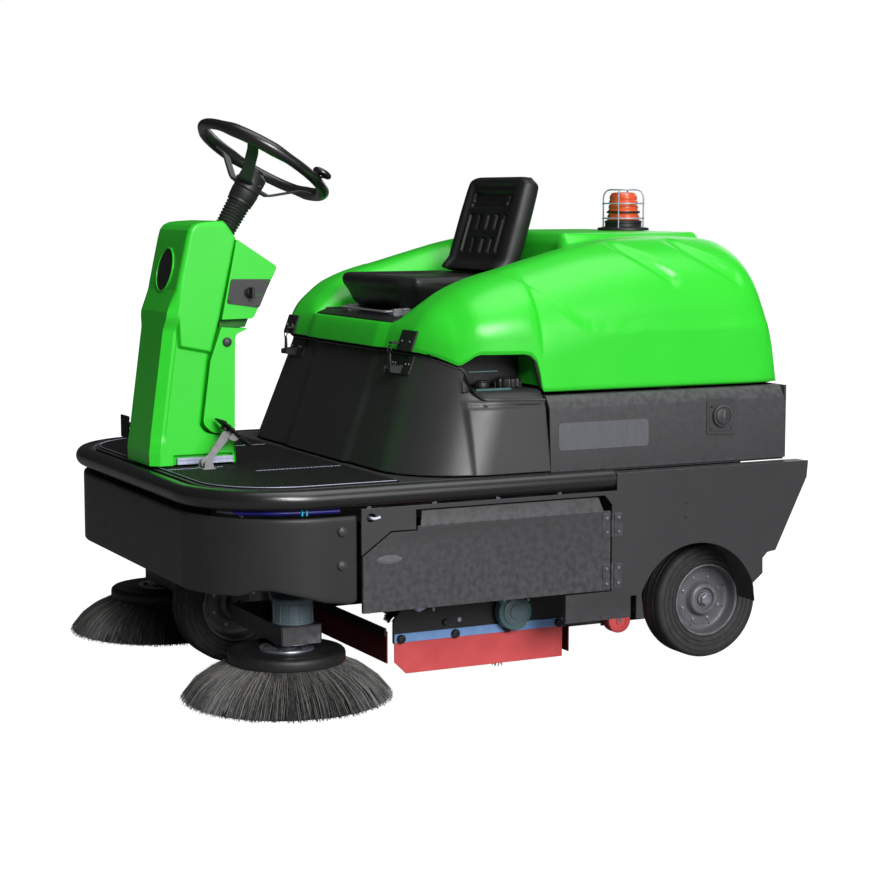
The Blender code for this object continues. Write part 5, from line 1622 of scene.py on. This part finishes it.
def add_strands(bm, x, y, count, rng, root, tip, belly, width, spread=1.0):
    """Thin bristles that fan out from a ring at the root down to a wider ring at the tip."""
    for k in range(count):
        angle = tau * (k + rng.random() * 0.9) / count
        reach = rng.uniform(*tip)
        start = rng.uniform(*root)
        lift = rng.uniform(0.0, 0.01) * spread
        lean = rng.gauss(0.0, 0.03)
        points = []
        for t in (0.0, 0.34, 0.68, 1.0):
            r = start + (reach - start) * t + belly * sin(pi * t)
            a = angle + lean * t
            z = 0.099 + (0.0016 + lift - 0.099) * t ** 0.92 + 0.012 * sin(pi * t)
            points.append(Vector((x + r * cos(a), y + r * sin(a), z)))
        across = Vector((-sin(angle), cos(angle), 0.0))
        out = Vector((cos(angle), sin(angle), 0.9)).normalized()
        previous = None
        for i, point in enumerate(points):
            w = width * (1.0 - 0.35 * i / 3)
            ring = [bm.verts.new(point + across * w), bm.verts.new(point + out * w),
                    bm.verts.new(point - across * w)]
            if previous:
                for m in range(3):
                    n = (m + 1) % 3
                    bm.faces.new((previous[m], previous[n], ring[n], ring[m]))
            else:
                bm.faces.new(ring)
            previous = ring
        bm.faces.new(previous)


SIDE_BRUSH_X, SIDE_BRUSH_Y = 0.477, -0.596


def make_side_brushes():
    rng = random.Random(21)
    y0 = SIDE_BRUSH_Y
    for word, side in SIDES:
        x0 = side * SIDE_BRUSH_X
        body = "side_brush_" + word
        rim = [(0.148, 0.1), (0.149, 0.103), (0.149, 0.118), (0.1475, 0.124), (0.143, 0.1282),
               (0.137, 0.1296), (0.124, 0.129), (0.12, 0.127), (0.098, 0.1262), (0.094, 0.1282),
               (0.07, 0.129), (0.0, 0.129)]
        lathe("brush_back_" + word, [(0.0, 0.1)] + rim, (x0, y0, 0.0), Z_AXIS, "dark", body,
              ("brush_disc_" + word,), steps=80)
        bm = bmesh.new()
        flange = [(0.0695, 0.1288), (0.07, 0.1305), (0.069, 0.1338), (0.03, 0.1338), (0.028, 0.1352),
                  (0.012, 0.1355), (0.0115, 0.144), (0.0, 0.1444)]
        add_lathe(bm, flange, (x0, y0, 0.0), Z_AXIS, 56)
        put("brush_flange_" + word, bm, "zinc", body)
        bm = bmesh.new()
        for k in range(6):
            angle = tau * k / 6 + 0.3
            place = (x0 + 0.05 * cos(angle), y0 + 0.05 * sin(angle), 0.1337)
            add_bolt(bm, place, Z_AXIS, 0.0065, "disc" if k % 2 else "hex")
        put("brush_screws_" + word, bm, "dark", body)
        # A dark ragged cone holds the mass, its darkness painted shade inside the bristles, and the strands
        # lie over it.
        core = [(0.095, 0.099), (0.144, 0.099), (0.164, 0.086), (0.21, 0.05), (0.256, 0.01),
                (0.25, 0.0045), (0.206, 0.0045), (0.12, 0.07)]
        bm = bmesh.new()
        add_ring(bm, core, (x0, y0, 0.0), Z_AXIS, 90)
        for vert in bm.verts:
            reach = hypot(vert.co.x - x0, vert.co.y - y0)
            if reach > 0.15:
                pull = 1 + 0.018 * noise.noise(Vector((vert.co.x, vert.co.y, vert.co.z * 0.3)) * 90)
                vert.co.x = x0 + (vert.co.x - x0) * pull
                vert.co.y = y0 + (vert.co.y - y0) * pull
        put("bristle_shade_core_" + word, bm, "bristle_shade_core", body)
        bm = bmesh.new()
        add_strands(bm, x0, y0, 1500, rng, (0.138, 0.1465), (0.248, 0.2695), 0.01, 0.00115)
        add_strands(bm, x0, y0, 1100, rng, (0.12, 0.142), (0.222, 0.258), 0.006, 0.00115, 0.4)
        put("bristle_strands_" + word, bm, "bristle", body, ("side_bristles_" + word,), sharp=70)
        bm = bmesh.new()
        # A few strands in the lighter bristle: painted highlight.
        add_strands(bm, x0, y0, 420, rng, (0.139, 0.1468), (0.236, 0.27), 0.0125, 0.0009, 1.3)
        put("bristle_lights_" + word, bm, "bristle_painted_highlight", body, sharp=70)


def make_brush_arms():
    for word, side in SIDES:
        body = "brush_arm_" + word
        bm = bmesh.new()
        # Folded channel: a flat top, two skirts and a slanted, lighter end plate.
        section = [(-0.631, 0.1455), (-0.631, 0.1945), (-0.521, 0.1945), (-0.521, 0.1455), (-0.525, 0.1455),
                   (-0.525, 0.1905), (-0.627, 0.1905), (-0.627, 0.1455)]
        add_slab(bm, section, side * 0.178, side * 0.528, "X")
        add_box(bm, (side * 0.19 - 0.012, -0.627, 0.158), (side * 0.19 + 0.012, -0.525, 0.182))
        put("arm_channel_" + word, bm, "dark", body, ("brush_arm_" + word,), bevel=0.0018)
        bm = bmesh.new()
        plate = [(side * 0.522, 0.1465), (side * 0.529, 0.1465), (side * 0.529, 0.19),
                 (side * 0.522, 0.194)]
        add_slab(bm, plate, -0.627, -0.525, "Y")
        for y in (-0.608, -0.544):
            add_bolt(bm, (side * 0.529, y, 0.168), (side, 0, 0), 0.001, "disc")
        put("arm_end_" + word, bm, "panel", body, bevel=0.001)
        centre = (side * 0.47, -0.576, 0.19)
        shape = [(0.0, 0.0), (0.053, 0.0), (0.0535, 0.008), (0.0505, 0.011), (0.05, 0.054),
                 (0.052, 0.056), (0.0525, 0.064), (0.049, 0.069), (0.024, 0.0715), (0.0, 0.0718)]
        bm = bmesh.new()
        add_lathe(bm, shape, centre, Z_AXIS, 56)
        for k in range(12):
            angle = tau * k / 12
            a = Vector((cos(angle), sin(angle), 0.0))
            spot = Vector(centre) + a * 0.0505 + Vector((0, 0, 0.032))
            turn = Matrix.Translation(spot) @ Matrix.Rotation(angle, 4, "Z")
            bmesh.ops.create_cube(bm, size=1.0, matrix=turn @ Matrix.Diagonal((0.003, 0.003, 0.042, 1)))
        put("arm_motor_" + word, bm, "motor", body, bevel=0.0008)
        tube("motor_lead_" + word, smooth_path([
            (side * 0.44, -0.556, 0.256), (side * 0.425, -0.548, 0.26), (side * 0.4, -0.546, 0.254),
            (side * 0.36, -0.55, 0.22), (side * 0.32, -0.556, 0.201), (side * 0.24, -0.56, 0.199),
        ], 6), 0.0035, "dark", body, sides=10)
        lathe("motor_plate_" + word, [(0.0, 0.0), (0.05, 0.0), (0.052, 0.0012), (0.052, 0.0034),
                                      (0.0, 0.0036)],
              (side * 0.47, -0.576, 0.1418), Z_AXIS, "zinc", body, steps=48)


BRUSH_AXIS = (0.055, 0.165)  # Y and Z of the middle of the drum


def make_main_brush():
    rng = random.Random(5)
    y0, z0 = BRUSH_AXIS
    bm = bmesh.new()
    add_lathe(bm, [(0.0, -0.4545), (0.0148, -0.4545), (0.0148, -0.429), (0.075, -0.429),
                   (0.075, 0.429), (0.0148, 0.429), (0.0148, 0.4545), (0.0, 0.4545)], (0, y0, z0), X_AXIS, 48)
    put("brush_drum", bm, "dark", "main_brush", bevel=0.001)
    # Rows of tufts wind round the drum in shallow spirals.
    bm = bmesh.new()
    rows, along = 12, 60
    for row in range(rows):
        for k in range(along):
            x = -0.423 + 0.846 * k / (along - 1)
            swing = tau * row / rows + 1.5 * abs(x) / 0.43
            for _ in range(4):
                angle = swing + rng.gauss(0.0, 0.03)
                place = x + rng.uniform(-0.006, 0.006)
                tip = rng.uniform(0.154, 0.1622)
                bend = rng.gauss(0.0, 0.03)
                root = Vector((place, y0 + 0.074 * cos(angle), z0 + 0.074 * sin(angle)))
                end = Vector((place + rng.uniform(-0.004, 0.004), y0 + tip * cos(angle + bend),
                              z0 + tip * sin(angle + bend)))
                side = Vector((0, -sin(angle), cos(angle)))
                w = 0.0021
                base = [bm.verts.new(root + o) for o in (side * w, X_AXIS * w, -side * w, -X_AXIS * w)]
                top = [bm.verts.new(end + o * 0.6) for o in (side * w, X_AXIS * w, -side * w, -X_AXIS * w)]
                for m in range(4):
                    n = (m + 1) % 4
                    bm.faces.new((base[m], base[n], top[n], top[m]))
                bm.faces.new(base[::-1])
                bm.faces.new(top)
    put("main_bristles", bm, "bristle", "main_brush", ("main_brush",), sharp=70)


# ---------------------------------------------------------------- brush housing, flaps and drive


def make_tunnel():
    y0, z0 = BRUSH_AXIS
    bm = bmesh.new()
    arch = arc(BRUSH_AXIS, 0.1788, 205, 32, 44) + arc(BRUSH_AXIS, 0.1752, 32, 205, 44)
    add_slab(bm, arch, -0.4405, 0.4405, "X")
    plate = [(-0.285, 0.1005), (-0.285, 0.165), (-0.255, 0.2), (-0.15, 0.33), (-0.1, 0.4995),
             (0.2, 0.4995), (0.235, 0.3), (0.235, 0.1005)]
    bore = arc(BRUSH_AXIS, 0.0156, 0, 345, 23)
    for _, side in SIDES:
        add_slab(bm, rounded(plate, 0.008, 3), side * 0.4407, side * 0.4484, "X", [bore])
    put("tunnel_housing", bm, "dark", "chassis", ("brush_tunnel",), bevel=0.001)
    for word, side in SIDES:
        # Blue clamping strip, its knobs and the red rubber below it.
        bm = bmesh.new()
        strip = [(-0.2855, 0.1065), (-0.2855, 0.129), (-0.28, 0.1298), (0.218, 0.1298), (0.2185, 0.1065)]
        add_slab(bm, strip, side * 0.4495, side * 0.4558, "X")
        put("flap_strip_" + word, bm, "blue", bevel=0.0012)
        rubber = [(-0.2845, 0.1075), (-0.2845, 0.0555), (-0.251, 0.0225), (0.2175, 0.0225),
                  (0.2175, 0.1075)]
        slab("flap_rubber_" + word, rubber, side * 0.4492, side * 0.4528, "X", "red",
             nodes=("side_flap_" + word,), bevel=0.0012)
        places = [(side * 0.4558, y, 0.1175) for y in (-0.268, -0.11, 0.045, 0.203)]
        bm = bmesh.new()
        for place in places:
            add_lathe(bm, [(0.011, 0.0), (0.0115, 0.0015), (0.0115, 0.0085), (0.0095, 0.011),
                           (0.0045, 0.0115), (0.004, 0.0095), (0.0, 0.0095)], place, (side, 0, 0), 24)
        add_lathe(bm, [(0.0085, 0.0), (0.0088, 0.006), (0.007, 0.0085), (0.0, 0.009)],
                  (side * 0.449, -0.135, 0.148), (side, 0, 0), 20)
        put("flap_knobs_" + word, bm, "dark")
        bolts("strip_bolt_" + word, [(side * 0.4486, -0.095, 0.152)], (side, 0, 0), 0.0075, "zinc",
              kind="hex")
    # Front flap with its clamp.
    bm = bmesh.new()
    add_box(bm, (-0.4375, -0.2998, 0.0505), (0.4375, -0.2962, 0.136))
    put("front_flap_rubber", bm, "dark_red", "chassis", ("front_flap",), bevel=0.001)
    bm = bmesh.new()
    add_box(bm, (-0.4385, -0.3058, 0.1225), (0.4385, -0.3005, 0.1445))
    for k in range(7):
        add_bolt(bm, (-0.39 + 0.13 * k, -0.3058, 0.1335), (0, -1, 0), 0.001, "disc")
    put("front_flap_clamp", bm, "dark", bevel=0.001)
    rubber = bmesh.new()
    add_box(rubber, (-0.4375, 0.244, 0.03), (0.4375, 0.2476, 0.13))
    put("rear_flap_rubber", rubber, "dark_red", bevel=0.001)
    # Belt cover with its boss, and the motor at the other end.
    outline = arc(BRUSH_AXIS, 0.0495, 150, 380, 36) + arc((-0.06, 0.28), 0.0335, 20, 150, 20)
    slab("belt_case", outline, 0.459, 0.488, "X", "teal", "chassis", ("belt_cover",), bevel=0.006)
    boss = [(0.036, 0.0), (0.036, 0.003), (0.033, 0.0045), (0.02, 0.0045), (0.0185, 0.0068),
            (0.009, 0.0068), (0.0, 0.007)]
    lathe("belt_boss", boss, (0.4878, y0, z0), X_AXIS, "motor", steps=40)
    bm = bmesh.new()
    for y, z in ((0.02, 0.2), (0.088, 0.132), (-0.05, 0.296), (0.092, 0.195)):
        add_bolt(bm, (0.488, y, z), X_AXIS, 0.0045, "hex")
    put("belt_screws", bm, "zinc")
    motor = [(0.0, 0.0), (0.054, 0.0), (0.0545, 0.006), (0.05, 0.01), (0.05, 0.072),
             (0.0535, 0.074), (0.053, 0.084), (0.03, 0.089), (0.0, 0.0895)]
    bm = bmesh.new()
    add_lathe(bm, motor, (-0.4602, y0, z0), (-1, 0, 0), 56)
    for k in range(16):
        angle = tau * k / 16
        spot = Vector((-0.501, y0 + 0.0505 * cos(angle), z0 + 0.0505 * sin(angle)))
        turn = Matrix.Translation(spot) @ Matrix.Rotation(angle, 4, "X")
        bmesh.ops.create_cube(bm, size=1.0, matrix=turn @ Matrix.Diagonal((0.06, 0.0036, 0.0024, 1)))
    put("brush_drive_motor", bm, "motor", "chassis", ("brush_motor",), bevel=0.0008)
    # Links and springs between the housing and the frame, seen through the gap under the door.
    for word, side in SIDES:
        bm = bmesh.new()
        coil = []
        for k in range(150):
            angle = tau * k / 12
            coil.append((side * 0.47 + 0.011 * cos(angle), -0.18 + 0.011 * sin(angle),
                         0.2 + 0.0013 * k))
        add_tube(bm, coil, 0.0016, 6)
        add_tube(bm, [(side * 0.47, -0.18, 0.186), (side * 0.47, -0.18, 0.408)], 0.0042, 10)
        put("lift_spring_" + word, bm, "zinc")
        bm = bmesh.new()
        add_tube(bm, smooth_path([(side * 0.48, -0.3, 0.25), (side * 0.5, -0.2, 0.225),
                                  (side * 0.502, -0.08, 0.232), (side * 0.485, 0.02, 0.27),
                                  (side * 0.47, 0.12, 0.33)], 8), 0.005, 10)
        put("brush_cable_" + word, bm, "dark")
        bm = bmesh.new()
        link = [(-0.232, 0.19), (-0.214, 0.182), (0.02, 0.3), (0.016, 0.318), (0.0, 0.322)]
        add_slab(bm, rounded(link, 0.008, 3), side * 0.452, side * 0.457, "X")
        add_bolt(bm, (side * 0.457, -0.218, 0.193), (side, 0, 0), 0.0085, "hex")
        add_bolt(bm, (side * 0.457, 0.008, 0.309), (side, 0, 0), 0.0075, "hex")
        put("lift_link_" + word, bm, "lavender", bevel=0.0007)


# ---------------------------------------------------------------- seat

SEAT_LIP = [  # the shell's outline from the front bottom, round the front lip, to the rear bottom
    (-0.095, 0.956), (-0.115, 0.958), (-0.126, 0.968), (-0.131, 0.982), (-0.136, 0.998),
    (-0.144, 1.01), (-0.1492, 1.02), (-0.15, 1.03), (-0.145, 1.039), (-0.134, 1.0438),
    (-0.118, 1.044), (-0.1, 1.0405), (-0.08, 1.0375), (-0.03, 1.035), (0.03, 1.0345),
    (0.09, 1.035), (0.14, 1.038), (0.17, 1.042), (0.196, 1.045), (0.208, 1.04),
    (0.2118, 1.025), (0.211, 1.0), (0.206, 0.975), (0.192, 0.96), (0.17, 0.9555),
]
SEAT_TOP_FROM, SEAT_TOP_TO = 8, 18


def make_cushion():
    """Moulded seat shell: a rolled lip all round, a shallow dish and sides that draw in below it."""
    half, columns = 0.2345, 44
    rows = []
    for i in range(columns + 1):
        u = -1 + 2 * i / columns
        side = abs(u)
        bolster = smoothstep(0.74, 0.9, side)
        shoulder = smoothstep(0.93, 1.0, side) ** 1.5
        row = []
        for k, (y, z) in enumerate(SEAT_LIP):
            top = SEAT_TOP_FROM <= k <= SEAT_TOP_TO
            share = smoothstep(0.96, 1.022, z)
            if top:
                z += (1.0448 - z) * bolster
                z -= 0.016 * shoulder
            width = half * (0.865 + 0.135 * share)
            plan = smoothstep(0.66, 1.0, side) ** 2
            if y < 0:
                y += 0.04 * plan * min(1.0, -y / 0.12)
            else:
                y -= 0.014 * plan * min(1.0, y / 0.19)
            row.append(Vector((width * u, y, z)))
        rows.append(row)
    bm = bmesh.new()
    verts = add_grid(bm, rows, wrap=True)
    bm.faces.new(verts[0][::-1])
    bm.faces.new(verts[-1])
    obj = put("cushion_skin", bm, "seat", "seat", ("seat_cushion",), sharp=80)
    smoother = obj.modifiers.new("rolled_edges", "SUBSURF")
    smoother.levels = 2
    smoother.render_levels = 2
    # A pressed line round the dish, inside the bolsters, drawn as a lighter tube that paints the highlight
    # along it.
    line = []
    for k in range(96):
        angle = tau * k / 96
        cx, cy = cos(angle), sin(angle)
        x = 0.168 * copysign(abs(cx) ** 0.42, cx)
        y = 0.02 + 0.118 * copysign(abs(cy) ** 0.42, cy)
        z = read([(-0.12, 1.04), (-0.1, 1.0402), (-0.08, 1.0374), (0.09, 1.0352), (0.14, 1.038)], y)
        line.append(Vector((x, y, z - 0.0004)))
    tube("cushion_line", line, 0.0018, "seat_painted_highlight", "seat", sides=8, closed=True)


BACK_FOOT = Vector((0.0, 0.202, 1.044))
BACK_TILT = atan2(0.082, 0.266)
BACK_UP = Vector((0.0, sin(BACK_TILT), cos(BACK_TILT)))
BACK_OUT = Vector((0.0, -cos(BACK_TILT), sin(BACK_TILT)))
BACK_HALF = 0.1775
BACK_HEIGHT = 0.28


def back_face(x, h):
    """How far the backrest's front lies in front of its middle plane, at a width and height."""
    u, v = abs(x) / BACK_HALF, h / BACK_HEIGHT
    border = smoothstep(0.7, 0.79, u)
    crown = 0.023 + 0.012 * border + 0.012 * smoothstep(0.875, 0.93, v) * (1 - border)
    crown += 0.016 * (1 - smoothstep(0.0, 0.14, v))

    def groove(x0, x1, h0, h1, depth=0.009, soft=0.003):
        across = smoothstep(x0 - soft, x0, x) * (1 - smoothstep(x1, x1 + soft, x))
        along = smoothstep(h0 - soft, h0, h) * (1 - smoothstep(h1, h1 + soft, h))
        return depth * across * along

    crown -= groove(-0.118, 0.112, 0.188, 0.23, 0.008)
    crown += groove(0.078, 0.09, 0.19, 0.22, 0.008)
    for x0 in (-0.112, 0.092):
        crown -= groove(x0, x0 + 0.02, 0.056, 0.166)
    for x0 in (-0.058, -0.006, 0.044):
        crown -= groove(x0, x0 + 0.021, 0.124, 0.166)
        crown -= groove(x0, x0 + 0.021, 0.056, 0.098)
    return crown


def make_backrest():
    columns, levels = 150, 110
    front, rear = [], []
    for j in range(levels + 1):
        v = j / levels
        h = BACK_HEIGHT * v
        width = BACK_HALF - 0.006 * smoothstep(0.5, 1.0, v) - 0.024 * smoothstep(0.9, 1.0, v) ** 2
        front_row, rear_row = [], []
        for i in range(columns + 1):
            u = -1 + 2 * i / columns
            s = sin(u * pi / 2) * 0.3 + u * 0.7
            x = width * s
            roll = sqrt(max(0.0, 1 - abs(s) ** 16)) * sqrt(max(0.0, 1 - v ** 24))
            base = BACK_FOOT + BACK_UP * h + X_AXIS * x
            front_row.append(base + BACK_OUT * (back_face(x, h) * roll))
            depth = 0.034 - 0.004 * s * s - 0.01 * (1 - smoothstep(0.0, 0.2, v))
            rear_row.append(base - BACK_OUT * (depth * roll))
        front.append(front_row)
        rear.append(rear_row)
    bm = bmesh.new()
    add_grid(bm, front)
    add_grid(bm, [row[::-1] for row in rear])
    add_grid(bm, [front[0], rear[0]])
    obj = put("backrest_skin", bm, "seat", "seat", ("seat_backrest",), sharp=70)


def make_seat_mount():
    bm = bmesh.new()
    plate = [(-0.1955, 0.9265), (-0.1955, 0.929), (-0.17, 0.938), (0.234, 0.938), (0.234, 0.9265)]
    add_slab(bm, plate, -0.254, 0.254, "X")
    for side in (1, -1):
        add_box(bm, (side * 0.247, -0.168, 0.937), (side * 0.254, 0.23, 0.943))
    put("seat_plate", bm, "dark", "hood", ("seat_base",), bevel=0.0015)
    bm = bmesh.new()
    for side in (1, -1):
        x = side * 0.15
        profile = [(x - 0.0175, 0.9383), (x + 0.0175, 0.9383), (x + 0.0175, 0.951), (x + 0.012, 0.9525),
                   (x + 0.009, 0.946), (x - 0.009, 0.946), (x - 0.012, 0.9525), (x - 0.0175, 0.951)]
        add_slab(bm, profile, -0.15, 0.2, "Y")
        for y in (-0.14, 0.19):
            add_box(bm, (x - 0.01, y - 0.007, 0.944), (x + 0.01, y + 0.007, 0.9505))
    put("seat_slides", bm, "zinc", "hood", bevel=0.0007)
    bm = bmesh.new()
    for side in (1, -1):
        add_box(bm, (side * 0.15 - 0.0085, -0.144, 0.9475), (side * 0.15 + 0.0085, 0.19, 0.956))
        add_box(bm, (side * 0.15 - 0.015, -0.12, 0.953), (side * 0.15 + 0.015, -0.095, 0.958))
        add_box(bm, (side * 0.15 - 0.015, 0.14, 0.953), (side * 0.15 + 0.015, 0.165, 0.958))
    add_tube(bm, smooth_path([(0.15, -0.11, 0.9505), (0.15, -0.15, 0.9495), (0.14, -0.166, 0.949),
                              (0.09, -0.168, 0.949), (-0.09, -0.168, 0.949), (-0.14, -0.166, 0.949),
                              (-0.15, -0.15, 0.9495), (-0.15, -0.11, 0.9505)], 4), 0.0035, 8)
    put("seat_runners", bm, "dull_steel", "seat", bevel=0.0006)


# ---------------------------------------------------------------- beacon


def make_beacon():
    foot = Vector((0.0, 0.675, 1.1605))
    base = [(0.0, 0.0), (0.075, 0.0), (0.0755, 0.004), (0.0735, 0.0078), (0.056, 0.0095),
            (0.0535, 0.012), (0.053, 0.02), (0.0545, 0.0215), (0.0545, 0.026), (0.052, 0.029),
            (0.0, 0.0295)]
    lathe("beacon_foot", base, foot, Z_AXIS, "dark", "hood", ("beacon_base",), steps=72)
    lens = [(0.0, 0.0296), (0.047, 0.0296), (0.0475, 0.032), (0.046, 0.0335)]
    for k in range(5):
        low = 0.0335 + 0.014 * k
        wide = 0.0452 - 0.0014 * k
        lens += [(wide, low + 0.001), (wide + 0.0012, low + 0.003), (wide + 0.0006, low + 0.0105),
                 (wide - 0.002, low + 0.0125)]
    lens += [(0.0372, 0.105), (0.033, 0.109), (0.02, 0.1105), (0.0, 0.111)]
    lathe("beacon_dome", lens, foot, Z_AXIS, "lens", "hood", ("beacon_lens",), steps=72)
    collar = [(0.048, 0.05), (0.049, 0.0515), (0.049, 0.0545), (0.048, 0.056), (0.0455, 0.056),
              (0.0455, 0.05)]
    bm = bmesh.new()
    add_ring(bm, collar, foot, Z_AXIS, 64)
    put("beacon_collar", bm, "dark", "hood")
    bm = bmesh.new()
    wire = 0.0022
    for radius, height in ((0.06, 0.035), (0.06, 0.078), (0.04, 0.118)):
        ring = [foot + Vector((x, y, height)) for x, y in arc((0, 0), radius, 0, 354, 59)]
        add_tube(bm, ring, wire, 10, closed=True)
    for angle in range(45, 360, 90):
        across = Vector((cos(radians(angle)), sin(radians(angle)), 0))
        route = [(0.06, 0.006), (0.06, 0.05), (0.06, 0.092), (0.058, 0.104), (0.05, 0.1145),
                 (0.039, 0.118)]
        add_tube(bm, smooth_path([foot + across * r + Z_AXIS * h for r, h in route], 5), wire, 10)
        add_lathe(bm, [(0.006, 0.0), (0.006, 0.0025), (0.0, 0.0028)], foot + across * 0.06
                  + Z_AXIS * 0.0072, Z_AXIS, 16)
    put("beacon_cage", bm, "cage", "hood", sharp=60)


# ---------------------------------------------------------------- hopper, frame and inner units


def make_hopper():
    bm = bmesh.new()
    low, high = 0.0855, 0.4945
    for x0, x1 in ((-0.3895, -0.385), (0.385, 0.3895)):
        add_box(bm, (x0, 0.2625, low), (x1, 0.8395, high))
    add_box(bm, (-0.3895, 0.2625, low), (0.3895, 0.8395, low + 0.0045))
    add_box(bm, (-0.3895, 0.835, low), (0.3895, 0.8395, high))
    add_box(bm, (-0.3895, 0.2625, low), (0.3895, 0.2665, 0.1995))
    for x in (-0.3, -0.15, 0.0, 0.15, 0.3):
        add_box(bm, (x - 0.006, 0.839, low + 0.03), (x + 0.006, 0.84, 0.37))
    for _, side in SIDES:
        a, b = sorted((side * 0.389, side * 0.3915))
        for y in (0.33, 0.5, 0.67):
            add_box(bm, (a, y - 0.012, low + 0.02), (b, y + 0.012, high - 0.03))
        a, b = sorted((side * 0.39, side * 0.3945))
        add_box(bm, (a, 0.375, 0.08), (b, 0.451, 0.15))
    put("hopper_box", bm, "dark", "hopper", ("hopper",), bevel=0.0015)
    tube("hopper_grip", smooth_path([(-0.12, 0.84, 0.4), (-0.12, 0.856, 0.4), (-0.112, 0.8638, 0.4),
                                     (0.0, 0.864, 0.4), (0.112, 0.8638, 0.4), (0.12, 0.856, 0.4),
                                     (0.12, 0.84, 0.4)], 4), 0.0068, "dull_steel", "hopper", sides=16)
    for word, side in SIDES:
        centre = (side * 0.412, 0.413, 0.098)
        wheel = [(0.006, -0.0195), (0.03, -0.0195), (0.034, -0.0175), (0.035, -0.014),
                 (0.035, 0.014), (0.034, 0.0175), (0.03, 0.0195), (0.02, 0.0195), (0.019, 0.016),
                 (0.012, 0.016), (0.011, 0.0198), (0.006, 0.0198)]
        bm = bmesh.new()
        add_ring(bm, wheel, centre, (side, 0, 0), 48)
        put("roller_tread_" + word, bm, "red", "hopper_roller_" + word, ("hopper_roller_" + word,))
        tube("roller_axle_" + word, [(side * 0.39, 0.413, 0.098), (side * 0.4325, 0.413, 0.098)], 0.0058,
             "zinc", "hopper", sides=16)


def make_frame_detail():
    for word, side in SIDES:
        bm = bmesh.new()
        web = sorted((side * 0.4355, side * 0.4395))
        add_box(bm, (web[0], -0.7795, 0.4305), (web[1], 0.7995, 0.544))
        add_box(bm, (side * 0.4055, -0.7795, 0.4305), (side * 0.4395, 0.7995, 0.435))
        add_box(bm, (side * 0.4055, -0.7795, 0.54), (side * 0.4395, 0.7995, 0.5444))
        hang = sorted((side * 0.4385, side * 0.452))
        plate = [(0.5605, 0.4995), (0.5605, 0.15), (0.59, 0.1105), (0.64, 0.1105), (0.6695, 0.15),
                 (0.6695, 0.4995)]
        add_slab(bm, rounded(plate, 0.012, 3), hang[0], hang[1], "X")
        put("frame_rail_" + word, bm, "dark", "chassis", ("chassis_frame",), bevel=0.0012)
        tube("rear_axle_" + word, [(side * 0.448, 0.615, 0.16), (side * 0.5515, 0.615, 0.16)], 0.0119,
             "dull_steel", sides=24)
        bm = bmesh.new()
        for y in (-0.7, -0.4, -0.1, 0.2, 0.5):
            add_bolt(bm, (side * 0.4395, y, 0.47), (side, 0, 0), 0.0075, "hex")
        for y, z in ((0.585, 0.47), (0.645, 0.47), (0.585, 0.42), (0.645, 0.42)):
            add_bolt(bm, (side * 0.452, y, z), (side, 0, 0), 0.0065, "hex")
        put("frame_bolts_" + word, bm, "zinc")
        tube("wiring_run_" + word, smooth_path([
            (side * 0.452, -0.48, 0.505), (side * 0.458, -0.3, 0.492), (side * 0.46, -0.12, 0.5),
            (side * 0.456, 0.06, 0.49), (side * 0.46, 0.25, 0.498), (side * 0.458, 0.48, 0.505),
        ], 8), 0.0068, "dark", sides=12)
    bm = bmesh.new()
    for y0, y1, z0 in ((-0.7795, -0.7405, 0.4305), (-0.6195, -0.5005, 0.4305), (-0.3395, -0.3005, 0.4305),
                       (0.7605, 0.7895, 0.5065)):
        add_box(bm, (-0.4195, y0, z0), (0.4195, y1, 0.543))
    put("frame_crossmembers", bm, "dark", bevel=0.0015)


def make_inner_units():
    bm = bmesh.new()
    for k in range(6):
        low = -0.4195 + 0.14 * k
        add_box(bm, (low, 0.1205, 0.5512), (low + 0.1385, 0.7395, 0.71))
        for row in range(4):
            place = (low + 0.069, 0.2 + 0.15 * row, 0.71)
            add_lathe(bm, [(0.018, 0.0), (0.018, 0.009), (0.015, 0.011), (0.0, 0.0112)], place, Z_AXIS, 20)
    put("battery_cells", bm, "battery", "chassis", ("battery_pack",), bevel=0.003)
    bm = bmesh.new()
    for k in range(5):
        x = -0.2805 + 0.14 * k
        add_box(bm, (x - 0.03, 0.15, 0.7108), (x + 0.03, 0.166, 0.718))
        add_tube(bm, smooth_path([(x - 0.035, 0.33, 0.714), (x - 0.01, 0.345, 0.727),
                                  (x + 0.03, 0.36, 0.714)], 6), 0.006, 10)
    put("battery_links", bm, "red", bevel=0.0006)
    bm = bmesh.new()
    add_box(bm, (-0.2995, -0.1495, 0.5512), (0.2995, 0.0795, 0.788))
    for k in range(18):
        x = -0.28 + 0.033 * k
        add_box(bm, (x - 0.006, -0.14, 0.788), (x + 0.006, 0.07, 0.799))
    put("filter_casing", bm, "grey", "chassis", ("filter_box",), bevel=0.002)
    bm = bmesh.new()
    add_box(bm, (0.3405, -0.1045, 0.5512), (0.5595, 0.0795, 0.7635))
    put("tank_moulding", bm, "dark", "chassis", ("spray_tank",), bevel=0.012)
    box("cap_blue_strip", (0.548, -0.102, 0.764), (0.56, 0.0, 0.77), "teal", bevel=0.001)
    # Upright ribs round the filler cap, which turn with it.
    bm = bmesh.new()
    for k in range(12):
        angle = tau * k / 12
        place = (0.5 + 0.0355 * cos(angle), 0.02 + 0.0355 * sin(angle), 0.766)
        add_lathe(bm, [(0.0, 0.0), (0.0022, 0.0), (0.0022, 0.016), (0.0, 0.0162)], place, Z_AXIS, 8)
    put("filler_cap_ring", bm, "dark", "filler_cap")


make_wheels()
make_side_brushes()
make_brush_arms()
make_main_brush()
make_tunnel()
make_cushion()
make_backrest()
make_seat_mount()
make_beacon()
make_hopper()
make_frame_detail()
make_inner_units()
